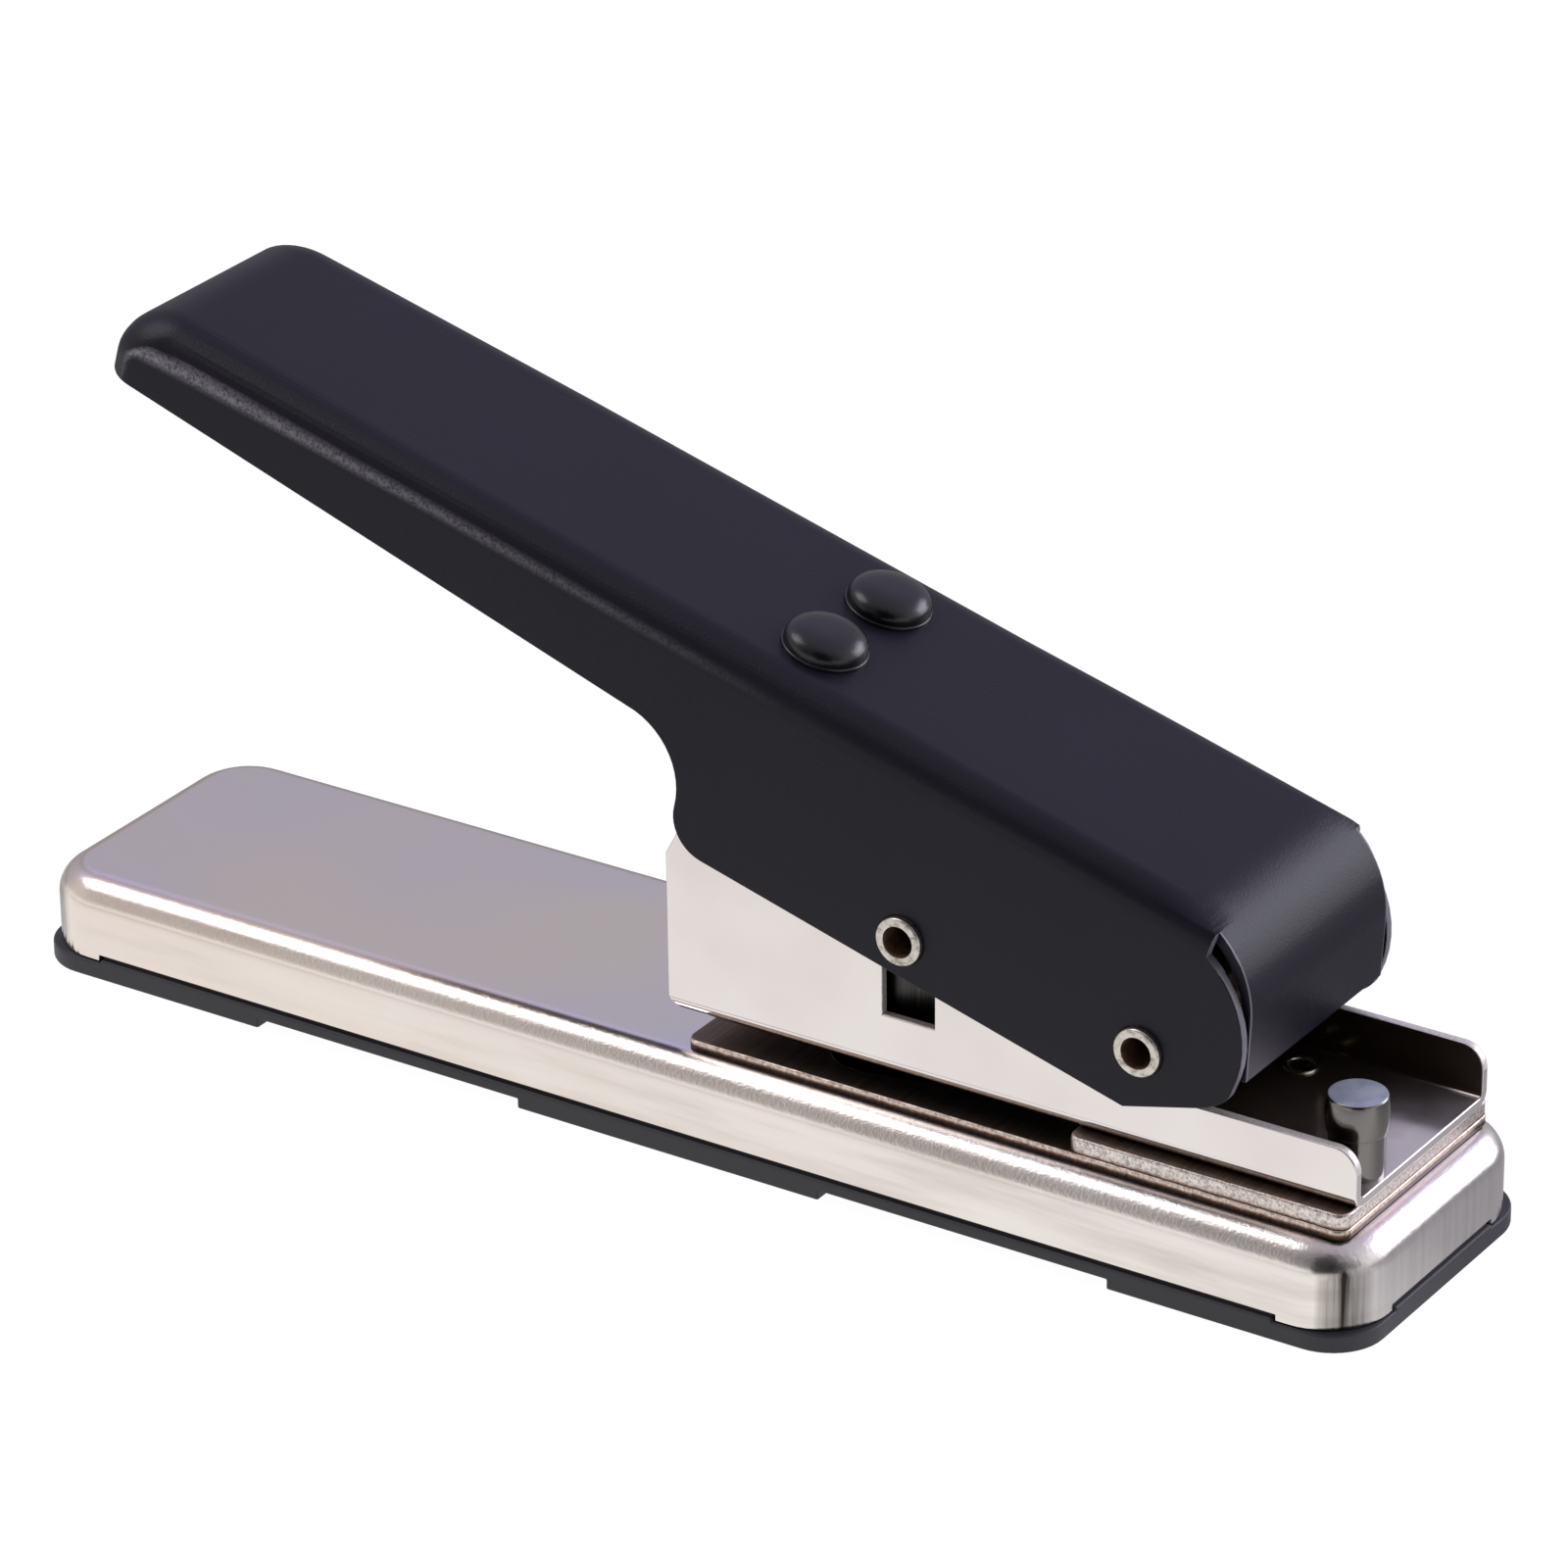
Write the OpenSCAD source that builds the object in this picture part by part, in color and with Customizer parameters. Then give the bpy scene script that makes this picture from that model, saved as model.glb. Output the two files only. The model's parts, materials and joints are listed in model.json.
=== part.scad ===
// Hand-held punch that cuts guitar picks out of flat plastic sheet
// Units are mm, +X points to the front (the pivot end), +Z is up

/* [Tray] */
// Length of the bottom tray, the longest size of the tool
tray_length = 180; // [150:1:220]
// Width of the bottom tray
tray_width = 40.4; // [36:0.1:50]
// Plan corner radius of the tray
tray_corner = 6.5; // [4:0.5:10]
// Height of the tray rim, up to the seam under the shell
rim_height = 3; // [2.6:0.1:5]
// Thickness of the tray floor and of its inner wall
tray_wall = 1; // [0.8:0.1:1.6]
// Height of the three feet under the tray floor
foot_height = 1.2; // [0.6:0.1:1.6]
// Length of the foot at the rear end
rear_foot_length = 33.5; // [20:0.5:45]
// Length of the foot in the middle
middle_foot_length = 41; // [20:0.5:60]
// Distance of the middle foot's centre in front of the tool's centre
middle_foot_offset = 1; // [-10:0.5:10]
// Length of the foot at the front end
front_foot_length = 31; // [20:0.5:45]
// Height of the inner wall that plugs into the shell
plug_height = 4; // [2:0.1:6]
// Height of the shadow groove round the rim's top edge
groove_height = 0.4; // [0.2:0.05:0.5]
// Depth of that groove
groove_depth = 0.8; // [0.4:0.05:1]

/* [Shell] */
// Distance of the shell's sides inside the tray's outline
shell_inset = 0.3; // [0.1:0.05:1]
// Height of the shell's flat top above the table
shell_top = 12.1; // [10:0.1:16]
// Plan corner radius of the shell
shell_corner = 8; // [6:0.5:12]
// Radius of the shell's rounded top edge
shell_fillet = 3.8; // [2:0.1:4.2]
// Thickness of the drawn sheet metal
shell_sheet = 1; // [0.8:0.05:1.4]
// Depth of the drawn ears at the shell's four corners
ear_depth = 0.75; // [0.3:0.05:0.75]
// Length of each ear along the long side
ear_length = 10; // [6:0.5:14]
// Length of each ear along the short end
ear_width = 9; // [6:0.5:12]

/* [Die stack] */
// Distance of the stack's front edge behind the tray's front end
stack_setback = 3.6; // [2:0.1:8]
// Length of the die plate
die_length = 85; // [75:0.5:100]
// Width of the die plate
die_width = 33; // [31:0.2:36]
// Thickness of the die plate
die_sheet = 1.2; // [0.8:0.1:2]
// Length of the spacer plate, which ends the sheet slot
spacer_length = 35; // [32:0.5:38]
// Width of the spacer plate
spacer_width = 32.6; // [31:0.2:36]
// Height of the sheet slot, which is the spacer's thickness
slot_height = 1.9; // [1.2:0.1:3]
// Corner radius of both plates
plate_corner = 1.6; // [0.5:0.1:3]

/* [Guide channel] */
// Length of the folded guide channel
channel_length = 88.8; // [80:0.2:100]
// Distance that the channel reaches in front of the stack
channel_overhang = 0.4; // [0:0.1:2]
// Outer width of the guide channel
channel_width = 29.5; // [28.5:0.1:32]
// Thickness of the channel's sheet metal
channel_sheet = 1.2; // [0.8:0.1:1.6]
// Outer radius of the channel's folds
channel_fold = 1.8; // [1.4:0.1:2.6]
// Height of the low front walls above the channel's underside
front_wall_height = 7.2; // [5:0.1:9]
// Radius of the low walls' front corners
front_wall_corner = 2.8; // [1:0.1:4]
// Height of the tall rear walls above the channel's underside
rear_wall_height = 24.6; // [23:0.1:26]
// Height of the sloped cut at the walls' rear top corners
rear_cut_height = 4.8; // [2:0.1:8]
// Length of the sloped cut at the walls' rear top corners
rear_cut_length = 2.5; // [1:0.1:6]
// Size of the small cut at the walls' rear bottom corners
rear_toe_cut = 1.7; // [0.5:0.1:3]
// Length of the tall wall's level top
rear_wall_length = 46; // [40:0.5:50]
// Radius of the wall round the pivot pin
pivot_boss_radius = 5.6; // [4.5:0.1:6.5]

/* [Lever motion] */
// Distance of the pivot pin behind the stack's front edge
pivot_setback = 25.7; // [24:0.1:28]
// Height of the pivot pin above the channel's underside
pivot_height = 13.1; // [12:0.1:14]
// Lift of the lever at rest, in degrees
rest_lift = 15.55; // [13:0.05:17]
// Stroke of the lever from rest to the cut, in degrees
press_stroke = 14.5; // [10:0.1:14.5]
// Distance of the drive pin behind the pivot pin, along the lever
drive_distance = 30.7; // [28:0.1:33]
// Distance of the drive pin below the pivot pin, across the lever
drive_drop = 3.13; // [2:0.01:4]

/* [Lever] */
// Thickness of the lever's sheet metal
lever_sheet = 1.2; // [1:0.1:1.3]
// Height of the lever's top above the pivot pin
lever_top = 19.1; // [18:0.1:21]
// Radius of the lever's top edges, along both sides and round the tail
lever_edge = 3.6; // [1.8:0.1:3.8]
// Distance of the tail end behind the pivot pin
lever_tail = 146.6; // [130:0.2:165]
// Plan corner radius of the tail
tail_corner = 4; // [3.8:0.1:8]
// Height of the handle's lower edge at the tail, above the pivot pin
tail_edge_height = 10.4; // [9:0.1:12]
// Depth of the side walls below the pivot pin
wall_drop = 7.7; // [6.5:0.1:8.5]
// Distance of the walls' rear edge behind the pivot pin
neck_distance = 61.8; // [58:0.1:66]
// Radius of the hollow curve between handle and walls
neck_radius = 8.7; // [6:0.1:10]
// Radius of the round lower rear corner of the walls
lobe_radius = 4.9; // [3:0.1:6]
// Slope of the cut under the walls' front end, in degrees
front_cut_angle = 30; // [20:1:35]
// Distance of that cut's straight end in front of the pivot pin
front_cut_reach = 7.9; // [5:0.1:9]
// Radius of the side walls' curved front edge
nose_radius = 12.7; // [12:0.1:13.5]
// Distance of that curve's centre behind the pivot pin
nose_back = 0.9; // [0.5:0.1:2]
// Height of that curve's centre above the pivot pin
nose_height = 3.6; // [3:0.1:5]
// Angle below level at which that curve ends, in degrees
nose_end = 10; // [5:1:20]
// Distance of the relief slits' root in front of the pivot pin
slit_root = 4.2; // [3:0.1:5]
// Radius of the curled front apron
apron_radius = 12.2; // [11.5:0.1:13.5]
// Angle that the apron curls through, in degrees
apron_turn = 78; // [65:1:85]
// Distance of the curl's centre behind the pivot pin
apron_back = 1.2; // [0.2:0.1:2]
// Height of the apron's lower edge above the pivot pin
apron_edge_height = 1.9; // [1:0.1:3]
// Radius of the apron's lower corners
apron_corner = 1.2; // [0.5:0.1:4]
// Width of the slit between the apron and each side wall
apron_slit = 0.35; // [0.2:0.05:0.6]

/* [Pins] */
// Outer diameter of both tubular pins
pin_diameter = 5.8; // [5:0.1:6]
// Bore of both tubular pins
pin_bore = 3.7; // [2.5:0.1:4]
// Distance that the pins stand out of the lever's walls
pin_proud = 0.8; // [0.4:0.1:1.5]
// Size of the bevels on the pins' ends
pin_bevel = 0.3; // [0.1:0.05:0.5]

/* [Top rivets and leaf spring] */
// Distance of the two top rivets behind the pivot pin
rivet_distance = 53.6; // [51:0.1:56]
// Distance between the two top rivets
rivet_spacing = 13; // [11.5:0.1:14]
// Diameter of the thin flange round each dome
rivet_flange = 10.1; // [9.8:0.1:11]
// Thickness of that flange
rivet_flange_height = 0.4; // [0.3:0.05:0.8]
// Diameter of the dome
rivet_dome = 9.5; // [8:0.1:9.7]
// Height of the dome above its flange
rivet_dome_height = 2.3; // [1.2:0.1:2.8]
// Fullness of the dome's sides, where 1 is a plain ellipse and less is fuller
rivet_fullness = 0.8; // [0.6:0.05:1]
// Diameter of the rivet's shank
rivet_shank = 3.6; // [3:0.1:4.5]
// Diameter of the closing head inside the lever
rivet_head = 6; // [5:0.1:7]
// Thickness of the closing head inside the lever
rivet_head_height = 0.9; // [0.6:0.1:1.2]
// Width of the leaf spring where the rivets hold it
leaf_width = 25; // [22:0.1:26]
// Width of the leaf's end that presses on the channel's walls
leaf_end_width = 28.9; // [28:0.1:29.5]
// Length of that wide end, along the lever
leaf_end_length = 7; // [5:0.5:9]
// Thickness of the leaf spring
leaf_sheet = 0.7; // [0.5:0.05:1]
// Length of the flat part that the rivets hold
leaf_flat = 15; // [13:0.5:18]
// Distance of the leaf's tip behind the pivot pin, level with the table
leaf_tip_distance = 24; // [22:0.5:28]
// Distance from the held flat to the leaf's upper bend
leaf_knee = 6; // [4:0.5:9]
// Distance from the tip to the leaf's lower bend
leaf_heel = 10; // [6:0.5:12]

/* [Punch] */
// Length of the pick along the tool
pick_length = 30; // [27:0.1:31]
// Width of the pick across the tool
pick_width = 25; // [22:0.1:25.6]
// Radius of the pick's playing tip
pick_tip = 2.6; // [1.5:0.1:4]
// Radius of the pick's two shoulders
pick_shoulder = 5.5; // [3:0.1:7]
// Radius of the pick's bowed sides and back
pick_bow = 34; // [26:1:60]
// Height of the punch block
punch_height = 22.5; // [21:0.1:23.5]
// Height of the punch's cutting face above the channel's underside, at rest
punch_retract = 0.6; // [0.2:0.1:1]
// Size of the bevel on the punch's top edge
punch_bevel = 0.8; // [0.3:0.1:1.2]

/* [Post and eyelets] */
// Distance of the front post behind the stack's front edge
post_setback = 3.2; // [3:0.1:6]
// Distance of the front post from the middle, to the near side
post_offset = 8.3; // [6:0.1:9]
// Diameter of the post's barrel head
post_diameter = 7.2; // [6.5:0.1:7.4]
// Diameter of the post's lower shank
post_shank = 6.3; // [4.5:0.1:6.5]
// Height of the post above the channel floor
post_height = 9.5; // [7:0.1:12]
// Height of the shank part below the barrel head
post_ring_height = 5; // [3:0.1:6]
// Bevel on the post's top
post_bevel = 0.25; // [0.15:0.05:0.8]
// Diameter of the rivet stem that clamps the stack
stem_diameter = 3.6; // [3:0.1:5]
// Distance of the two eyelets behind the stack's front edge
eyelet_setback = 20; // [14:0.5:22]
// Distance between the two eyelets
eyelet_spacing = 18.6; // [16:0.1:20]
// Bore of the eyelets
eyelet_bore = 3; // [2:0.1:3.2]
// Diameter of the eyelets' rims and of the lower heads
eyelet_rim = 4.2; // [4:0.1:6]
// Thickness of the eyelets' rims and of the lower heads
eyelet_rim_height = 0.35; // [0.25:0.05:0.8]

/* [Fits] */
// Gap all round between parts that are pressed together
press_gap = 0.01; // [0.005:0.005:0.02]
// Gap all round between a pin and the bore that it turns in
running_gap = 0.06; // [0.03:0.01:0.1]
// Gap all round between the punch and its guide and die holes
guide_gap = 0.08; // [0.04:0.01:0.1]
// Gap all round between the drive pin and the punch's slot
slot_gap = 0.14; // [0.1:0.01:0.2]
// Gap between neighbouring parts that move past each other
free_gap = 0.3; // [0.25:0.05:0.5]
// Gap between each wall of the lever and the channel's wall
lever_gap = 0.55; // [0.3:0.05:1]
// Gap of the snap fit between tray and shell
snap_gap = 0.2; // [0.1:0.05:0.3]
// Gap between parts that rest on each other
seat_gap = 0.05; // [0.02:0.01:0.1]

/* [View] */
// Sub-part to draw, or all of them

/* [Hidden] */
$fn = 96;
overlap = 1;
arc_steps = 10;

shell_length = tray_length - 2 * shell_inset;
shell_width = tray_width - 2 * shell_inset;
shell_bottom = rim_height + seat_gap;
tray_floor_top = foot_height + tray_wall;
die_bottom = shell_top;
spacer_bottom = die_bottom + die_sheet;
channel_bottom = spacer_bottom + slot_height;
floor_top = channel_bottom + channel_sheet;
stack_front = tray_length / 2 - stack_setback;
stack_middle = stack_front - die_length / 2;
spacer_middle = stack_front - spacer_length / 2;
channel_front = stack_front + channel_overhang;
channel_rear = channel_front - channel_length;

pivot_x = stack_front - pivot_setback;
pivot_z = channel_bottom + pivot_height;
drive_arm = norm([drive_distance, drive_drop]);
drive_angle = rest_lift - atan2(drive_drop, drive_distance);
// Drive pin's place at rest, at the end of the stroke and at its rearmost point
drive_rest = [pivot_x - drive_arm * cos(drive_angle), pivot_z + drive_arm * sin(drive_angle)];
drive_down = [pivot_x - drive_arm * cos(drive_angle - press_stroke),
    pivot_z + drive_arm * sin(drive_angle - press_stroke)];
drive_rear_x = pivot_x - drive_arm;
punch_x = (drive_rest[0] + drive_rear_x) / 2;
drive_shift = drive_rest[0] - drive_rear_x;

lever_width = channel_width + 2 * (lever_sheet + lever_gap);
lever_half = lever_width / 2;
// Centre of the apron's curl in the lever's frame, and the angle on it where the slits begin
curl = [-apron_back, lever_top - apron_radius];
curl_root = acos((slit_root + apron_back) / apron_radius);
// Leaf spring's tip on the channel's walls at rest, in the lever's frame
wall_top = rear_wall_height - pivot_height + seat_gap;
leaf_tip = [-leaf_tip_distance * cos(rest_lift) - wall_top * sin(rest_lift),
    wall_top * cos(rest_lift) - leaf_tip_distance * sin(rest_lift)];
pin_length = lever_width + 2 * pin_proud;
post_x = stack_front - post_setback;
eyelet_x = stack_front - eyelet_setback;
stem_points = [[post_x, -post_offset], [eyelet_x, -eyelet_spacing / 2], [eyelet_x, eyelet_spacing / 2]];
head_bottom = shell_top - shell_sheet - eyelet_rim_height;

// Points of an arc in the plane, from angle a to angle b
function arc(centre, radius, a, b, steps = arc_steps) =
    [for (i = [0:steps]) centre + radius * [cos(a + (b - a) * i / steps), sin(a + (b - a) * i / steps)]];

// Points of a curve that leaves p towards q and arrives at r
function bend(p, q, r, steps = arc_steps) =
    [for (i = [0:steps]) let (t = i / steps) (1 - t) * (1 - t) * p + 2 * t * (1 - t) * q + t * t * r];

// Direction of a vector in the plane, in degrees
function heading(v) = atan2(v[1], v[0]);

// Centre of the bow that wraps the circles round c1 and c2, on the right of the way from c1 to c2
function bow_centre(c1, r1, c2, r2, bow) =
    let (d = norm(c2 - c1))
    let (along = ((bow - r1) * (bow - r1) - (bow - r2) * (bow - r2) + d * d) / (2 * d))
    let (across = sqrt((bow - r1) * (bow - r1) - along * along))
    let (u = (c2 - c1) / d)
    c1 + along * u + across * [u[1], -u[0]];

// Closed outline of a bent strip, its sheet below the path from left to right
function strip(path, sheet) =
    let (last = len(path) - 1)
    let (under = [for (i = [0:last])
        let (way = path[min(i + 1, last)] - path[max(i - 1, 0)])
        path[i] + sheet * [way[1], -way[0]] / norm(way)])
    concat(path, [for (i = [last:-1:0]) under[i]]);

// Outline of the pick, its tip towards +X, grown by a clearance
function pick_outline(grow) =
    let (tip = [pick_length / 2 - pick_tip, 0])
    let (reach = pick_bow - pick_shoulder)
    let (half = pick_width / 2 - pick_shoulder)
    let (sag = reach - sqrt(reach * reach - half * half))
    let (left = [pick_shoulder + sag - pick_length / 2, half])
    let (right = [left[0], -left[1]])
    let (side = bow_centre(left, pick_shoulder, tip, pick_tip, pick_bow))
    let (back = bow_centre(right, pick_shoulder, left, pick_shoulder, pick_bow))
    let (tip_end = heading(tip - side))
    let (side_end = heading(left - side))
    let (back_start = heading(left - back))
    let (upper = concat(
        arc(tip, pick_tip + grow, 0, tip_end),
        arc(side, pick_bow + grow, tip_end, side_end),
        arc(left, pick_shoulder + grow, side_end, back_start),
        arc(back, pick_bow + grow, back_start, 180)))
    concat(upper, [for (i = [len(upper) - 2:-1:1]) [upper[i][0], -upper[i][1]]]);

// Rectangle with round corners
module rounded_plan(length, width, radius) {
    square([length - 2 * radius, width], center = true);
    square([length, width - 2 * radius], center = true);
    for (x = [-1, 1], y = [-1, 1])
        translate([x * (length / 2 - radius), y * (width / 2 - radius)])
            circle(radius);
}

// Plate with round corners, standing on the plane
module rounded_plate(length, width, radius, height) {
    linear_extrude(height)
        rounded_plan(length, width, radius);
}

// Cross-section of a block with round top edges, standing on the axis
module soft_section(width, fillet, height) {
    translate([-width / 2, 0])
        square([width, height - fillet]);
    translate([fillet - width / 2, 0])
        square([width - 2 * fillet, height]);
    for (x = [-1, 1])
        translate([x * (width / 2 - fillet), height - fillet])
            circle(fillet);
}

// Block with round corners and a rounded top edge, standing on the plane
module soft_block(length, width, radius, fillet, height) {
    rotate([90, 0, 90])
        linear_extrude(length - 2 * radius, center = true)
            soft_section(width, fillet, height);
    rotate([90, 0, 0])
        linear_extrude(width - 2 * radius, center = true)
            soft_section(length, fillet, height);
    for (i = [0:3])
        translate([[1, -1, -1, 1][i] * (length / 2 - radius), [1, 1, -1, -1][i] * (width / 2 - radius), 0])
            rotate([0, 0, 90 * i])
                rotate_extrude(angle = 90)
                    intersection() {
                        soft_section(2 * radius, fillet, height);
                        square([radius, height]);
                    }
}

// Side view drawn in X and Z, pushed through the tool's width
module side_prism(width) {
    rotate([90, 0, 0])
        linear_extrude(width, center = true)
            children();
}

// Round bar across the tool's width
module cross_bar(diameter, length) {
    rotate([90, 0, 0])
        cylinder(d = diameter, h = length, center = true);
}

// Four blocks at the corners, where the shell's ears reach down
module ear_zones(grow) {
    for (x = [-1, 1], y = [-1, 1])
        translate([x * tray_length / 2, y * tray_width / 2, 0])
            cube([2 * (ear_length + grow), 2 * (ear_width + grow), 3 * rim_height], center = true);
}

// Holes for the post's and the eyelets' stems through the whole stack
module stem_holes() {
    for (p = stem_points)
        translate([p[0], p[1], head_bottom])
            cylinder(d = stem_diameter + 2 * press_gap, h = floor_top - head_bottom + overlap);
}

// Upright prism with the pick's outline
module pick_prism(grow, height) {
    translate([punch_x, 0, 0])
        linear_extrude(height)
            polygon(pick_outline(grow));
}

// Places a shape from the lever's own frame, pivot at its origin, into the tool
module on_lever() {
    translate([pivot_x, 0, pivot_z])
        rotate([0, rest_lift, 0])
            children();
}

// Plastic tray that closes the shell and catches the picks
module tray() {
    plug_inset = shell_inset + shell_sheet + snap_gap;
    color([0.12, 0.12, 0.14]) {
        translate([0, 0, foot_height])
            rounded_plate(tray_length, tray_width, tray_corner, tray_wall);
        intersection() {
            rounded_plate(tray_length, tray_width, tray_corner, foot_height);
            tray_feet();
        }
        difference() {
            translate([0, 0, tray_floor_top]) {
                rounded_plate(tray_length, tray_width, tray_corner,
                    rim_height - groove_height - tray_floor_top);
                rounded_plate(tray_length - 2 * groove_depth, tray_width - 2 * groove_depth,
                    tray_corner - groove_depth, rim_height - tray_floor_top);
            }
            translate([0, 0, tray_floor_top])
                rounded_plate(tray_length - 2 * plug_inset, tray_width - 2 * plug_inset,
                    shell_corner - plug_inset, rim_height);
            ear_zones(free_gap);
        }
        tray_plug(plug_inset);
    }
}

// Zones of the three feet
module tray_feet() {
    foot_starts = [-tray_length / 2, middle_foot_offset - middle_foot_length / 2,
        tray_length / 2 - front_foot_length];
    foot_lengths = [rear_foot_length, middle_foot_length, front_foot_length];
    for (i = [0:2])
        translate([foot_starts[i], -tray_width / 2, 0])
            cube([foot_lengths[i], tray_width, foot_height]);
}

// Inner wall of the tray that snaps into the shell
module tray_plug(inset) {
    inner = inset + tray_wall;
    translate([0, 0, tray_floor_top])
        difference() {
            rounded_plate(tray_length - 2 * inset, tray_width - 2 * inset,
                shell_corner - inset, plug_height);
            translate([0, 0, -overlap])
                rounded_plate(tray_length - 2 * inner, tray_width - 2 * inner,
                    shell_corner - inner, plug_height + 2 * overlap);
        }
}

// Drawn steel shell with a rounded top edge and an opening under the die
module base_shell() {
    color([0.75, 0.73, 0.72])
        difference() {
            soft_block(shell_length, shell_width, shell_corner, shell_fillet, shell_top);
            translate([0, 0, -overlap])
                soft_block(shell_length - 2 * shell_sheet, shell_width - 2 * shell_sheet,
                    shell_corner - shell_sheet, shell_fillet - shell_sheet,
                    shell_top - shell_sheet + overlap);
            difference() {
                translate([0, 0, shell_bottom / 2])
                    cube([2 * tray_length, 2 * tray_width, shell_bottom], center = true);
                ear_zones(0);
            }
            translate([0, 0, (shell_bottom - ear_depth) / 2])
                cube([2 * tray_length, 2 * tray_width, shell_bottom - ear_depth], center = true);
            translate([0, 0, shell_top - shell_sheet - overlap])
                pick_prism(free_gap, shell_sheet + 2 * overlap);
            stem_holes();
        }
}

// Flat plate whose pick-shaped hole is the lower cutting edge
module die_plate() {
    color([0.6, 0.58, 0.57])
        difference() {
            translate([stack_middle, 0, die_bottom])
                rounded_plate(die_length, die_width, plate_corner, die_sheet);
            translate([0, 0, die_bottom - overlap])
                pick_prism(guide_gap, die_sheet + 2 * overlap);
            stem_holes();
        }
}

// Short plate that sets the height of the sheet slot and stops the sheet
module spacer_plate() {
    color([0.68, 0.64, 0.62])
        difference() {
            translate([spacer_middle, 0, spacer_bottom])
                rounded_plate(spacer_length, spacer_width, plate_corner, slot_height);
            stem_holes();
        }
}

// Cross-section of the folded channel, drawn in Y and Z
module channel_section(inset) {
    half = channel_width / 2 - inset;
    fold = channel_fold - inset;
    translate([-half, channel_fold])
        square([2 * half, rear_wall_height]);
    translate([-half + fold, inset])
        square([2 * (half - fold), rear_wall_height]);
    for (y = [-1, 1])
        translate([y * (half - fold), channel_fold])
            circle(fold);
}

// Side view of the channel's walls, measured from the underside
module channel_outline() {
    low = front_wall_height;
    corner = front_wall_corner;
    boss = [pivot_x, pivot_height];
    shoulder = [channel_rear + rear_wall_length, rear_wall_height];
    boss_start = heading(shoulder - boss) - acos(pivot_boss_radius / norm(shoulder - boss));
    polygon(concat([
        [channel_rear + rear_toe_cut, 0],
        [channel_rear, rear_toe_cut],
        [channel_rear, rear_wall_height - rear_cut_height],
        [channel_rear + rear_cut_length, rear_wall_height],
        shoulder],
        arc(boss, pivot_boss_radius, boss_start, 0),
        [[pivot_x + pivot_boss_radius, low]],
        arc([channel_front - corner, low - corner], corner, 90, 0),
        [[channel_front, 0]]));
}

// Slot in the walls that lets the drive pin travel
module drive_window() {
    reach = pin_diameter / 2 + free_gap;
    width = drive_shift + 2 * reach;
    height = drive_rest[1] - drive_down[1] + 2 * reach;
    translate([drive_rear_x - reach, -channel_width, drive_down[1] - reach])
        cube([width, 2 * channel_width, height]);
}

// Folded steel channel that guides the punch and carries the pivot
module guide_channel() {
    color([0.78, 0.76, 0.74])
        difference() {
            intersection() {
                translate([channel_rear, 0, channel_bottom])
                    rotate([90, 0, 90])
                        linear_extrude(channel_length)
                            difference() {
                                channel_section(0);
                                channel_section(channel_sheet);
                            }
                translate([0, 0, channel_bottom])
                    side_prism(2 * channel_width)
                        channel_outline();
            }
            drive_window();
            translate([pivot_x, 0, pivot_z])
                cross_bar(pin_diameter + 2 * running_gap, 2 * channel_width);
            translate([0, 0, channel_bottom - overlap])
                pick_prism(guide_gap, channel_sheet + 2 * overlap);
            stem_holes();
        }
}

// Plated post that rivets the stack together at the front
module front_post() {
    ring = floor_top + post_ring_height;
    top = floor_top + post_height;
    neck = post_shank / 2;
    lip = (post_diameter / 2 + neck) / 2;
    bulge = post_diameter - lip;
    translate([post_x, -post_offset, 0])
        color([0.72, 0.76, 0.8])
            rotate_extrude()
                polygon(concat([
                    [0, head_bottom],
                    [eyelet_rim / 2, head_bottom],
                    [eyelet_rim / 2, head_bottom + eyelet_rim_height],
                    [stem_diameter / 2, head_bottom + eyelet_rim_height],
                    [stem_diameter / 2, floor_top],
                    [neck, floor_top],
                    [neck, ring]],
                    bend([lip, ring], [bulge, (ring + top) / 2], [lip, top - post_bevel]),
                    [[lip - post_bevel, top],
                    [0, top]]));
}

// Two tubular rivets that clamp the stack under the lever
module stack_eyelets() {
    color([0.7, 0.68, 0.66])
        for (y = [-1, 1])
            translate([eyelet_x, y * eyelet_spacing / 2, 0])
                rotate_extrude()
                    polygon([
                        [eyelet_bore / 2, head_bottom],
                        [eyelet_rim / 2, head_bottom],
                        [eyelet_rim / 2, head_bottom + eyelet_rim_height],
                        [stem_diameter / 2, head_bottom + eyelet_rim_height],
                        [stem_diameter / 2, floor_top],
                        [eyelet_rim / 2, floor_top],
                        [eyelet_rim / 2 - eyelet_rim_height / 2, floor_top + eyelet_rim_height],
                        [eyelet_bore / 2, floor_top + eyelet_rim_height]]);
}

// Block that the lever is folded from, its tail corners and top edges round
module lever_block(inset) {
    front_reach = 3 * apron_radius;
    length = lever_tail + front_reach - inset;
    depth = 2 * lever_top;
    translate([length / 2 - lever_tail + inset, 0, -depth])
        soft_block(length, lever_width - 2 * inset, tail_corner - inset, lever_edge - inset,
            depth + lever_top - inset);
}

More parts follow.
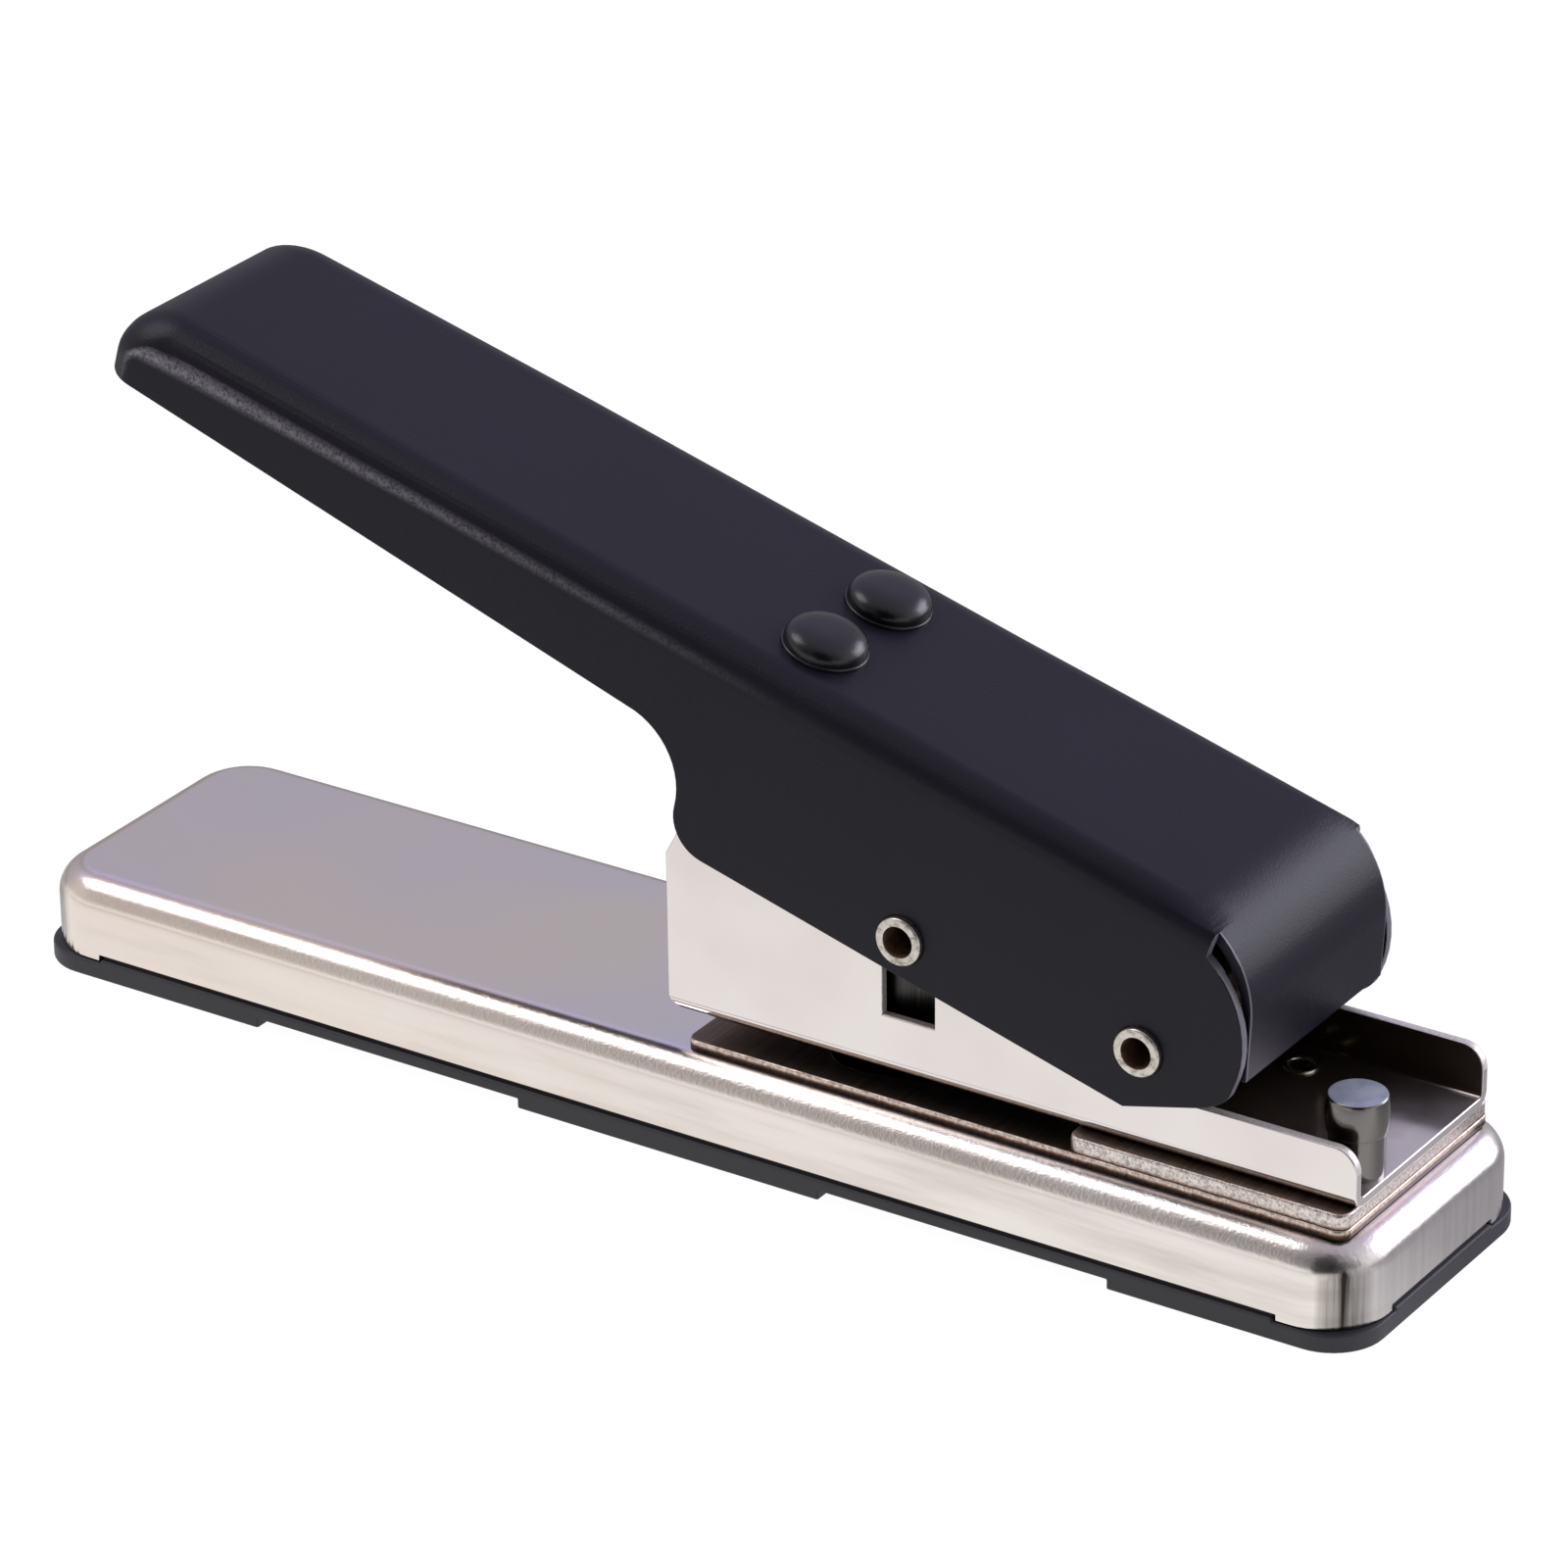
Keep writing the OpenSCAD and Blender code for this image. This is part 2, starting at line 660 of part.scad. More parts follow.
// Side view of the lever without its apron
module lever_outline() {
    nose = [-nose_back, nose_height];
    nose_angle = acos((slit_root + nose_back) / nose_radius);
    nose_foot = nose + nose_radius * [cos(nose_end), -sin(nose_end)];
    cut_end = [front_cut_reach, front_cut_reach * tan(front_cut_angle) - wall_drop];
    cut_tip = [nose_foot[0], nose_foot[0] * tan(front_cut_angle) - wall_drop];
    lobe = [lobe_radius - neck_distance, lobe_radius - wall_drop];
    neck = [-neck_distance - neck_radius, lobe[1]];
    difference() {
        union() {
            polygon(concat(
                [[-lever_tail, tail_edge_height], [-lever_tail, lever_top]],
                arc(curl, apron_radius, 90, curl_root),
                arc(nose, nose_radius, nose_angle, -nose_end),
                bend(nose_foot, cut_tip, cut_end),
                [[0, -wall_drop], [lobe[0], -wall_drop], lobe, neck, neck + [0, neck_radius]]));
            translate(lobe)
                circle(lobe_radius);
        }
        translate(neck)
            circle(neck_radius);
    }
}

// Side view of the curled apron
module apron_outline() {
    inner = apron_radius - lever_sheet;
    end = 90 - apron_turn;
    outer_end = curl + apron_radius * [cos(end), sin(end)];
    inner_end = curl + inner * [cos(end), sin(end)];
    fall = [cos(end - 90), sin(end - 90)];
    fall_length = (apron_edge_height - inner_end[1]) / fall[1];
    polygon(concat(
        arc(curl, apron_radius, 90, curl_root),
        arc(curl, apron_radius, curl_root, end),
        [outer_end + fall * fall_length, inner_end + fall * fall_length],
        arc(curl, inner, end, curl_root),
        arc(curl, inner, curl_root, 90)));
}

// Front view of the apron with its round lower corners, drawn in Y and Z
module apron_front(half) {
    low = apron_edge_height - lever_sheet;
    translate([-half, low + apron_corner])
        square([2 * half, 2 * lever_top]);
    translate([apron_corner - half, low])
        square([2 * (half - apron_corner), lever_top]);
    for (y = [-1, 1])
        translate([y * (half - apron_corner), low + apron_corner])
            circle(apron_corner);
}

// Curled apron, as wide as the flat top up to the slits' root and nearly as wide as the walls allow after it
module lever_apron() {
    side_prism(lever_width - 2 * lever_edge)
        intersection() {
            apron_outline();
            translate([-lever_top, 0])
                square([lever_top + slit_root + press_gap, lever_top]);
        }
    intersection() {
        side_prism(lever_width)
            apron_outline();
        translate([slit_root, 0, 0])
            rotate([90, 0, 90])
                linear_extrude(2 * apron_radius)
                    apron_front(lever_half - lever_sheet - apron_slit);
    }
}

// Folded steel lever with its soft tail, waisted walls and curled apron
module lever() {
    color([0.1, 0.1, 0.12])
        on_lever()
            difference() {
                union() {
                    intersection() {
                        difference() {
                            lever_block(0);
                            lever_block(lever_sheet);
                        }
                        side_prism(2 * lever_width)
                            lever_outline();
                    }
                    lever_apron();
                }
                cross_bar(pin_diameter + 2 * press_gap, 2 * lever_width);
                translate([-drive_distance, 0, -drive_drop])
                    cross_bar(pin_diameter + 2 * press_gap, 2 * lever_width);
                rivet_holes();
            }
}

// Holes for the top rivets through the lever and the leaf spring
module rivet_holes() {
    for (y = [-1, 1])
        translate([-rivet_distance, y * rivet_spacing / 2, 0])
            cylinder(d = rivet_shank + 2 * press_gap, h = 2 * lever_top);
}

// Two domed rivets on the lever's top, closed inside under the leaf spring
module top_rivets() {
    head_top = lever_top - lever_sheet - leaf_sheet;
    flange_top = lever_top + rivet_flange_height;
    dome = [for (i = [0:arc_steps]) let (turn = 90 * i / arc_steps)
        [pow(cos(turn), rivet_fullness) * rivet_dome / 2,
            flange_top + pow(sin(turn), rivet_fullness) * rivet_dome_height]];
    color([0.08, 0.08, 0.09])
        on_lever()
            for (y = [-1, 1])
                translate([-rivet_distance, y * rivet_spacing / 2, 0])
                    rotate_extrude()
                        polygon(concat([
                            [0, head_top - rivet_head_height],
                            [rivet_head / 2, head_top - rivet_head_height],
                            [rivet_head / 2, head_top],
                            [rivet_shank / 2, head_top],
                            [rivet_shank / 2, lever_top],
                            [rivet_flange / 2, lever_top],
                            [rivet_flange / 2, flange_top]],
                            dome));
}

// Side view of the leaf spring, from the flat under the lever to its tip on the walls
module leaf_outline() {
    high = lever_top - lever_sheet;
    back = -rivet_distance - leaf_flat / 2;
    front = back + leaf_flat;
    level = [cos(rest_lift), sin(rest_lift)];
    knee = [front + leaf_knee, high];
    end = leaf_tip + leaf_sheet * [-level[1], level[0]];
    heel = end - leaf_heel * level;
    crest = (knee + heel) / 2;
    path = concat([[back, high]], bend([front, high], knee, crest), bend(crest, heel, end));
    polygon(strip(path, leaf_sheet));
}

// Leaf spring that lifts the lever off the channel's walls
module leaf_spring() {
    color([0.45, 0.46, 0.5])
        on_lever()
            difference() {
                union() {
                    side_prism(leaf_width)
                        leaf_outline();
                    intersection() {
                        side_prism(leaf_end_width)
                            leaf_outline();
                        translate([leaf_tip[0] - leaf_end_length, -leaf_end_width, -lever_top])
                            cube([2 * leaf_end_length, 2 * leaf_end_width, 2 * lever_top]);
                    }
                }
                rivet_holes();
            }
}

// Tubular pin across the lever, with bevelled ends
module tube_pin() {
    half = pin_length / 2;
    outer = pin_diameter / 2;
    rotate([90, 0, 0])
        rotate_extrude()
            polygon([
                [pin_bore / 2, -half],
                [outer - pin_bevel, -half],
                [outer, pin_bevel - half],
                [outer, half - pin_bevel],
                [outer - pin_bevel, half],
                [pin_bore / 2, half]]);
}

// Pin that the lever turns on, in the channel's front bores
module pivot_pin() {
    color([0.66, 0.64, 0.6])
        on_lever()
            tube_pin();
}

// Pin that carries the lever's force to the punch
module drive_pin() {
    color([0.66, 0.64, 0.6])
        on_lever()
            translate([-drive_distance, 0, -drive_drop])
                tube_pin();
}

// Cross slot in the punch, long enough for the drive pin's swing
module punch_slot() {
    radius = pin_diameter / 2 + slot_gap;
    half = drive_shift / 2;
    side_prism(2 * pick_width) {
        translate([-half, -radius])
            square([2 * half, 2 * radius]);
        for (x = [-1, 1])
            translate([x * half, 0])
                circle(radius);
    }
}

// Pick-shaped steel punch that slides in the channel
module punch() {
    color([0.5, 0.5, 0.52])
        difference() {
            translate([0, 0, channel_bottom + punch_retract]) {
                pick_prism(0, punch_height - punch_bevel);
                pick_prism(-punch_bevel, punch_height);
            }
            translate([punch_x, 0, drive_rest[1]])
                punch_slot();
        }
}

tray();
base_shell();
die_plate();
spacer_plate();
guide_channel();
front_post();
stack_eyelets();
lever();
top_rivets();
leaf_spring();
pivot_pin();
drive_pin();
punch();
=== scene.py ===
# %% [markdown]
# # A guitar pick punch in satin nickel and black
# This punch cuts guitar picks out of old plastic cards. A long black lever turns on a pin in a folded
# steel channel, a second pin drives a pick-shaped punch through the channel's floor, and a die plate
# under it is the other half of the shears. The base is a drawn nickel shell on a dark plastic tray that
# catches the picks.
#
# The solids come from the CAD model, in metres, at their real size. This lesson gives them what the eye
# sees: eased edges that catch light, turned rivets and pins, and finishes that are built from nodes.

# %% Load the frame
import json
import math

import bmesh
import bpy
from mathutils import Matrix, Vector


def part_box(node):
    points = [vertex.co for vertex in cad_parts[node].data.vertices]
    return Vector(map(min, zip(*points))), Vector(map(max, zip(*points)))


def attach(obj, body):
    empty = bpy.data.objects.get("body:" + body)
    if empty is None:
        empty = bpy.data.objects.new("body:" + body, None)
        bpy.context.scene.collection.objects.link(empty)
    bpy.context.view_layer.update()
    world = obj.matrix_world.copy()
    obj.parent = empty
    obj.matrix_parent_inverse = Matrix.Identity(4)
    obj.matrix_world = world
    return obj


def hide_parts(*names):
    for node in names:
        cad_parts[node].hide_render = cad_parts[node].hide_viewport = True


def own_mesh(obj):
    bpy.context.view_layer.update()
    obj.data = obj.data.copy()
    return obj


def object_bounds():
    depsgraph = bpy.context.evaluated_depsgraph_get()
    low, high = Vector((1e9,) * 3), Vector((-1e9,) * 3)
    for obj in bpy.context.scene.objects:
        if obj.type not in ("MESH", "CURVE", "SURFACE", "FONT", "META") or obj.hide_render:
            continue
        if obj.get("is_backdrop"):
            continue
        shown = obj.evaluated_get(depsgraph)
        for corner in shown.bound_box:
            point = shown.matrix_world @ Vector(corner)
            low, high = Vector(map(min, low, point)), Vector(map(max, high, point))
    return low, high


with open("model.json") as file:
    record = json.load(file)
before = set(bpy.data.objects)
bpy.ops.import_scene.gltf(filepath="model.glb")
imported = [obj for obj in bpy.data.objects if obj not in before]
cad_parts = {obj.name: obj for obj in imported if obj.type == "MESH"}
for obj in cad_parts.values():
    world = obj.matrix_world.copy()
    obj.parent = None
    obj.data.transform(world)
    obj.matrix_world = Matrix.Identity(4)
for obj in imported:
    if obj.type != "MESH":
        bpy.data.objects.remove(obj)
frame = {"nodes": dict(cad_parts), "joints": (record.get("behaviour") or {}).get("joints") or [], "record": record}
CAD_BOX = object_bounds()
MM = 0.001

BODY_OF = {node: body for body, nodes in frame["record"]["behaviour"]["bodies"].items() for node in nodes}
print("nodes and their bodies:", BODY_OF)

# %% [markdown]
# ## Four small helpers
# Colours are picked on a screen, so they are written as sRGB hex values, but a shader works with linear
# light. `srgb` turns one into the other. `add` puts one node into a node tree: links and values go to its
# sockets, and everything else is a setting of the node. `begin` starts a material and gives coordinates
# in millimetres, so the scale of a pattern is one over its real width. `dress` links what came out to the
# shader. With these four, a finish reads like a recipe.

# %% Helpers for colours and nodes
def srgb(code):
    """Linear colour, with alpha, of an sRGB hex code such as #8f8a86."""
    parts = [int(code[i:i + 2], 16) / 255 for i in (1, 3, 5)]
    linear = [c / 12.92 if c <= 0.04045 else ((c + 0.055) / 1.055) ** 2.4 for c in parts]
    return (*linear, 1.0)


def add(tree, kind, sockets=None, stops=None, **settings):
    """Adds a node. Sockets get links or values, and stops are a colour ramp's (place, hex code) pairs."""
    node = tree.nodes.new("ShaderNode" + kind)
    for name, value in settings.items():
        setattr(node, name, value)
    for name, value in (sockets or {}).items():
        if isinstance(value, bpy.types.NodeSocket):
            tree.links.new(value, node.inputs[name])
        else:
            node.inputs[name].default_value = value
    for i, (place, code) in enumerate(stops or []):
        elements = node.color_ramp.elements
        element = elements[i] if i < 2 else elements.new(place)
        element.position = place
        element.color = srgb(code)
    return node


def begin(name, **values):
    """Starts a material: its node tree, constant values on its shader, and coordinates in mm."""
    material = bpy.data.materials.new(name)
    material.use_nodes = True
    tree = material.node_tree
    for socket, value in values.items():
        tree.nodes["Principled BSDF"].inputs[socket.replace("_", " ")].default_value = value
    place = add(tree, "TexCoord").outputs["Object"]
    mm = add(tree, "Mapping", {"Vector": place, "Scale": (1 / MM, 1 / MM, 1 / MM)}).outputs["Vector"]
    return material, tree, mm


def dress(material, colour, gloss=None, bump=None):
    """Links the last nodes of a finish to its shader and hands the material on."""
    links = material.node_tree.links
    sockets = material.node_tree.nodes["Principled BSDF"].inputs
    links.new(colour.outputs["Color"], sockets["Base Color"])
    if gloss:
        links.new(gloss.outputs[0], sockets["Roughness"])
    if bump:
        links.new(bump.outputs["Normal"], sockets["Normal"])
    return material


print("white is", srgb("#ffffff"), "and middle grey", srgb("#808080"))

# %% [markdown]
# ## The camera
# The photograph was taken with a long lens from the front left, a little above. Its angle, distance and
# focal length were worked out from straight edges of the base and the channel, whose sizes are known, so
# the camera needs no shift. The three axes of the camera are written out, which shows how a view is made
# from an azimuth, an elevation and a small roll.

# %% Camera
PHOTO_SIDE = 1600
FOCAL_PIXELS = 7648.6
SENSOR_MM = 36.0
AZIMUTH, ELEVATION, ROLL = (math.radians(a) for a in (33.439, 25.872, -0.662))
CAMERA_PLACE = Vector((423.07, -634.17, 407.63)) * MM

backward = Vector((math.sin(AZIMUTH) * math.cos(ELEVATION), -math.cos(AZIMUTH) * math.cos(ELEVATION),
                   math.sin(ELEVATION)))
level = Vector((math.cos(AZIMUTH), math.sin(AZIMUTH), 0))
upright = backward.cross(level)
right = level * math.cos(ROLL) + upright * math.sin(ROLL)
up = upright * math.cos(ROLL) - level * math.sin(ROLL)

camera = bpy.data.objects.new("camera", bpy.data.cameras.new("camera"))
camera.data.sensor_width = SENSOR_MM
camera.data.lens = FOCAL_PIXELS / PHOTO_SIDE * SENSOR_MM
camera.data.clip_end = 100
camera.matrix_world = Matrix.Translation(CAMERA_PLACE) @ Matrix((right, up, backward)).transposed().to_4x4()
bpy.context.scene.collection.objects.link(camera)
bpy.context.scene.camera = camera
print(f"camera: {camera.data.lens:.1f} mm lens, {CAMERA_PLACE.length:.2f} m from the punch")

# %% [markdown]
# ## The studio
# Polished metal shows its surroundings more than itself, so the studio matters as much as the finish. The
# back of the room is a soft bluish grey, which tints every upward face, and nearly white at the right.
# The front is dim above a bright horizon and paler towards the left, so a rounded edge shows a grey band
# between bright ones. A softbox over the left draws the bright band along the shell's bend. A second one
# at the back right, with a low panel under it, lights the lever's curl and the bend of the front end. A
# black flag behind the camera stands for the dark side of the room, which the shell's corner shows as a
# dark patch.
#
# The floor glows white for the camera, but it keeps a share of plain diffuse white, so the punch still
# has a soft shadow. Reflections see a floor that is bright beside the punch and turns grey behind it, as
# if a screen shaded it there, so far edges and the front end don't shine.

# %% World
AIR_GLOW = 1.1

world = bpy.data.worlds.new("studio")
world.use_nodes = True
bpy.context.scene.world = world
sky = world.node_tree
sky.nodes.clear()
way = add(sky, "SeparateXYZ", {"Vector": add(sky, "TexCoord").outputs["Generated"]})
# Each part of the room has its colours by height, where 0 is the horizon and 1 is straight up
front = add(sky, "ValToRGB", {"Fac": way.outputs["Z"]}, stops=[
    (0.0, "#ffffff"), (0.1, "#ffffff"), (0.18, "#86848a"), (0.6, "#7c7a80"), (1.0, "#a5a2a9")])
front_left = add(sky, "ValToRGB", {"Fac": way.outputs["Z"]}, stops=[
    (0.0, "#ffffff"), (0.1, "#fbf8f5"), (0.18, "#d6d0cc"), (0.5, "#d2cdca"), (1.0, "#a5a2a9")])
back = add(sky, "ValToRGB", {"Fac": way.outputs["Z"]}, stops=[
    (0.0, "#a3a1a5"), (0.25, "#aeaeb8"), (0.44, "#b0b0bb"), (0.64, "#c2bee0"), (1.0, "#bfbcca")])
back_right = add(sky, "ValToRGB", {"Fac": way.outputs["Z"]}, stops=[
    (0.0, "#f1eff4"), (0.3, "#ffffff"), (0.5, "#e6e4f0"), (1.0, "#bfbcca")])
# The parts run into each other along X and Y
leftwards = add(sky, "MapRange", {"Value": way.outputs["X"], "From Min": -0.4, "From Max": -0.58})
rightwards = add(sky, "MapRange", {"Value": way.outputs["X"], "From Min": 0.25, "From Max": 0.5})
backwards = add(sky, "MapRange", {"Value": way.outputs["Y"], "From Min": -0.35, "From Max": 0.15})
front = add(sky, "MixRGB", {"Fac": leftwards.outputs[0], "Color1": front.outputs["Color"],
                            "Color2": front_left.outputs["Color"]})
back = add(sky, "MixRGB", {"Fac": rightwards.outputs[0], "Color1": back.outputs["Color"],
                           "Color2": back_right.outputs["Color"]})
room = add(sky, "MixRGB", {"Fac": backwards.outputs[0], "Color1": front.outputs["Color"],
                           "Color2": back.outputs["Color"]})
air = add(sky, "Background", {"Color": room.outputs["Color"], "Strength": AIR_GLOW})
add(sky, "OutputWorld", {"Surface": air.outputs["Background"]})
bpy.context.scene.view_settings.view_transform = "Standard"
print("world: bluish at the back, dim at the front, with a bright horizon")

# %% Floor
FLOOR_SIZE = 12.0
CAMERA_GLOW, GLOSSY_GLOW, FLOOR_GLOW = 0.94, 0.9, 1.04
# What reflections see of the floor, from front to back between two places across it in mm
SHADE_FRONT, SHADE_BACK = -440.0, 60.0
SHADES = [(0.0, "#ffffff"), (0.3, "#e4e2e3"), (0.6, "#bdbbbe"), (0.72, "#f4f1f0"), (0.84, "#ffffff"),
          (0.9, "#b8b6b9"), (1.0, "#8c8a90")]


def white_paper():
    """White paper that glows for the camera and in reflections, and takes shadows like any paper."""
    material, tree, mm = begin("white_paper_floor", Base_Color=srgb("#f6f6f6"), Roughness=0.9)
    path = add(tree, "LightPath")
    seen = add(tree, "Math", {0: path.outputs["Is Camera Ray"], 1: CAMERA_GLOW}, operation="MULTIPLY")
    mirrored = add(tree, "Math", {0: path.outputs["Is Glossy Ray"], 1: GLOSSY_GLOW}, operation="MULTIPLY")
    share = add(tree, "Math", {0: seen.outputs[0], 1: mirrored.outputs[0]}, operation="MAXIMUM")
    across = add(tree, "SeparateXYZ", {"Vector": mm}).outputs["Y"]
    depth = add(tree, "MapRange", {"Value": across, "From Min": SHADE_FRONT, "From Max": SHADE_BACK})
    shade = add(tree, "ValToRGB", {"Fac": depth.outputs[0]}, stops=SHADES)
    tone = add(tree, "MixRGB", {"Fac": path.outputs["Is Glossy Ray"], "Color1": srgb("#ffffff"),
                                "Color2": shade.outputs["Color"]})
    white = add(tree, "Emission", {"Color": tone.outputs["Color"], "Strength": FLOOR_GLOW})
    paper = tree.nodes["Principled BSDF"].outputs[0]
    mix = add(tree, "MixShader", {0: share.outputs[0], 1: paper, 2: white.outputs[0]})
    tree.links.new(mix.outputs[0], tree.nodes["Material Output"].inputs["Surface"])
    return material


def board(name, matrix, finish):
    """A flat square of one metre, moved and stretched by a matrix, that belongs to the studio."""
    bm = bmesh.new()
    bmesh.ops.create_grid(bm, x_segments=1, y_segments=1, size=0.5)
    bm.transform(matrix)
    mesh = bpy.data.meshes.new(name)
    bm.to_mesh(mesh)
    bm.free()
    mesh.materials.append(finish)
    thing = bpy.data.objects.new(name, mesh)
    bpy.context.scene.collection.objects.link(thing)
    return thing


floor = board("floor", Matrix.Diagonal((FLOOR_SIZE, FLOOR_SIZE, 1, 1)), white_paper())
floor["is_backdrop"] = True
print(f"floor: {FLOOR_SIZE} m of white paper")

# %% Softboxes and flag
# Where each lamp hangs as seen from the punch, its size in metres, its watts and its tint
LAMPS = {
    "softbox_over_left": ((-0.56, -0.17, 0.82), (0.46, 0.5), 2.2, "#ffffff"),
    "softbox_back_right": ((0.48, 0.75, 0.45), (0.6, 0.3), 3.0, "#ebebff"),
    "panel_low_right": ((0.63, 0.74, 0.2), (0.6, 0.38), 2.0, "#f4f4ff"),
}
LAMP_DISTANCE = 1.0
AIM = Vector((0, 0, 0.03))
FLAG_WIDTH, FLAG_HEIGHT, FLAG_DISTANCE = 0.9, 1.9, 1.1


def turned_to(towards):
    """Rotation of a lamp or a board that faces back along a direction."""
    return towards.to_track_quat("Z", "Y").to_matrix().to_4x4()


for name, (place, size, watts, tint) in LAMPS.items():
    lamp = bpy.data.lights.new(name, "AREA")
    lamp.shape = "RECTANGLE"
    lamp.size, lamp.size_y = size
    lamp.energy = watts
    lamp.color = srgb(tint)[:3]
    holder = bpy.data.objects.new(name, lamp)
    towards = Vector(place).normalized()
    holder.matrix_world = Matrix.Translation(AIM + towards * LAMP_DISTANCE) @ turned_to(towards)
    holder.visible_camera = False
    bpy.context.scene.collection.objects.link(holder)
    print(f"{name}: radiance {watts / (math.pi * lamp.size * lamp.size_y):.2f}")

felt = begin("black_felt_flag", Base_Color=srgb("#101010"), Roughness=1.0)[0]
outwards = Vector((backward.x, backward.y, 0)).normalized()
flag_place = Matrix.Translation(outwards * FLAG_DISTANCE + Vector((0, 0, FLAG_HEIGHT / 2)))
flag_size = Matrix.Diagonal((FLAG_WIDTH, FLAG_HEIGHT, 1, 1))
flag = board("flag", flag_place @ turned_to(outwards) @ flag_size, felt)
flag.visible_camera = False
flag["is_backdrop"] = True
print(f"flag: {FLAG_WIDTH} x {FLAG_HEIGHT} m of black felt behind the camera")

# %% [markdown]
# ## From solids to pieces
# A CAD edge is perfectly sharp, and nothing real is. Every pressed, folded or moulded piece gets a copy
# of its solid whose loose triangles are merged, whose flat areas become single faces, and whose sharp
# edges are bevelled by a tenth of a millimetre or so. Those thin bevels catch the light as bright lines.
# The Bevel modifier could do this too, but as an operator the width stays under the lesson's control,
# piece by piece. A face that runs the whole length of a piece carries the shading of one end to the
# other, so long pieces are sliced first.

# %% Copies with eased edges
MERGE = 0.002 * MM
FLAT = math.radians(0.3)
SHARP = math.radians(40)
SMOOTH = math.radians(35)
# Width in mm of the bevels on each copied piece
EASED = {"tray": 0.25, "base_shell": 0.15, "die_plate": 0.1, "spacer_plate": 0.1, "guide_channel": 0.2,
         "lever": 0.2, "leaf_spring": 0.1, "punch": 0.12}


def merged_copy(node):
    """A closed mesh from a CAD node's loose triangles."""
    bm = bmesh.new()
    bm.from_mesh(frame["nodes"][node].data)
    bmesh.ops.remove_doubles(bm, verts=bm.verts, dist=MERGE)
    bmesh.ops.dissolve_limit(bm, angle_limit=FLAT, verts=bm.verts, edges=bm.edges)
    return bm


def ease(bm, width, segments=2, only=None):
    """Bevels, by a width in mm, every sharp edge or only those whose middle, in mm, passes a test."""
    sharp = [e for e in bm.edges if len(e.link_faces) == 2 and e.calc_face_angle() > SHARP]
    if only:
        sharp = [e for e in sharp if only((e.verts[0].co + e.verts[1].co) / 2 / MM)]
    bmesh.ops.bevel(bm, geom=sharp, offset=width * MM, offset_type="OFFSET", segments=segments, profile=0.5,
                    affect="EDGES", clamp_overlap=False, material=-1)
    return bm


def slice_along(bm, places, axis=(1, 0, 0), ahead_of=-math.inf):
    """Cuts long faces at places in mm along an axis, or only those faces that lie ahead of some X."""
    for place in places:
        cut = Vector(axis)
        faces = [f for f in bm.faces if min(v.co.x for v in f.verts) / MM > ahead_of]
        edges = list({e for f in faces for e in f.edges})
        verts = list({v for f in faces for v in f.verts})
        bmesh.ops.bisect_plane(bm, geom=verts + edges + faces, dist=MERGE, plane_co=cut * place * MM,
                               plane_no=cut)
    return bm


def show(bm, node, *finishes):
    """Puts a finished bmesh into the scene as the piece that stands for a CAD node."""
    mesh = bpy.data.meshes.new(node + "_skin")
    bm.to_mesh(mesh)
    bm.free()
    for finish in finishes:
        mesh.materials.append(finish)
    mesh.shade_smooth()
    mesh.set_sharp_from_angle(angle=SMOOTH)
    piece = bpy.data.objects.new(node + "_skin", mesh)
    bpy.context.scene.collection.objects.link(piece)
    piece.modifiers.new("flat_faces_stay_flat", "WEIGHTED_NORMAL").keep_sharp = True
    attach(piece, BODY_OF[node])
    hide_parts(node)
    low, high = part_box(node)
    size = (high - low) / MM
    print(f"{node}: {len(mesh.polygons)} faces, {size.x:.1f} x {size.y:.1f} x {size.z:.1f} mm")
    return piece


print("widths of eased edges in mm:", EASED)

# %% [markdown]
# ## The tray
# The tray is moulded in dark plastic with a fine spark-eroded grain. It is matt, so its sides show a
# broad, pale sheen of the white floor rather than a mirror image. A little unevenness in the gloss keeps
# it from looking like flat paint.

# %% Tray
def moulded_plastic():
    """Dark ABS from a spark-eroded mould: matt, with a fine even grain that blurs every highlight."""
    material, tree, mm = begin("moulded_dark_abs", IOR=1.53)
    cloud = add(tree, "TexNoise", {"Vector": mm, "Scale": 1 / 9.0, "Detail": 3.0})
    tone = add(tree, "ValToRGB", {"Fac": cloud.outputs["Fac"]}, stops=[(0.3, "#2a292e"), (0.7, "#34333a")])
    gloss = add(tree, "MapRange", {"Value": cloud.outputs["Fac"], "To Min": 0.48, "To Max": 0.62})
    # Spark grain is about 0.05 mm wide, drawn as 0.3 mm so that it shows
    grain = add(tree, "TexNoise", {"Vector": mm, "Scale": 1 / 0.3, "Detail": 2.0})
    bump = add(tree, "Bump", {"Height": grain.outputs["Fac"], "Strength": 0.35, "Distance": 0.03 * MM})
    return dress(material, tone, gloss, bump)


show(ease(merged_copy("tray"), EASED["tray"]), "tray", moulded_plastic())
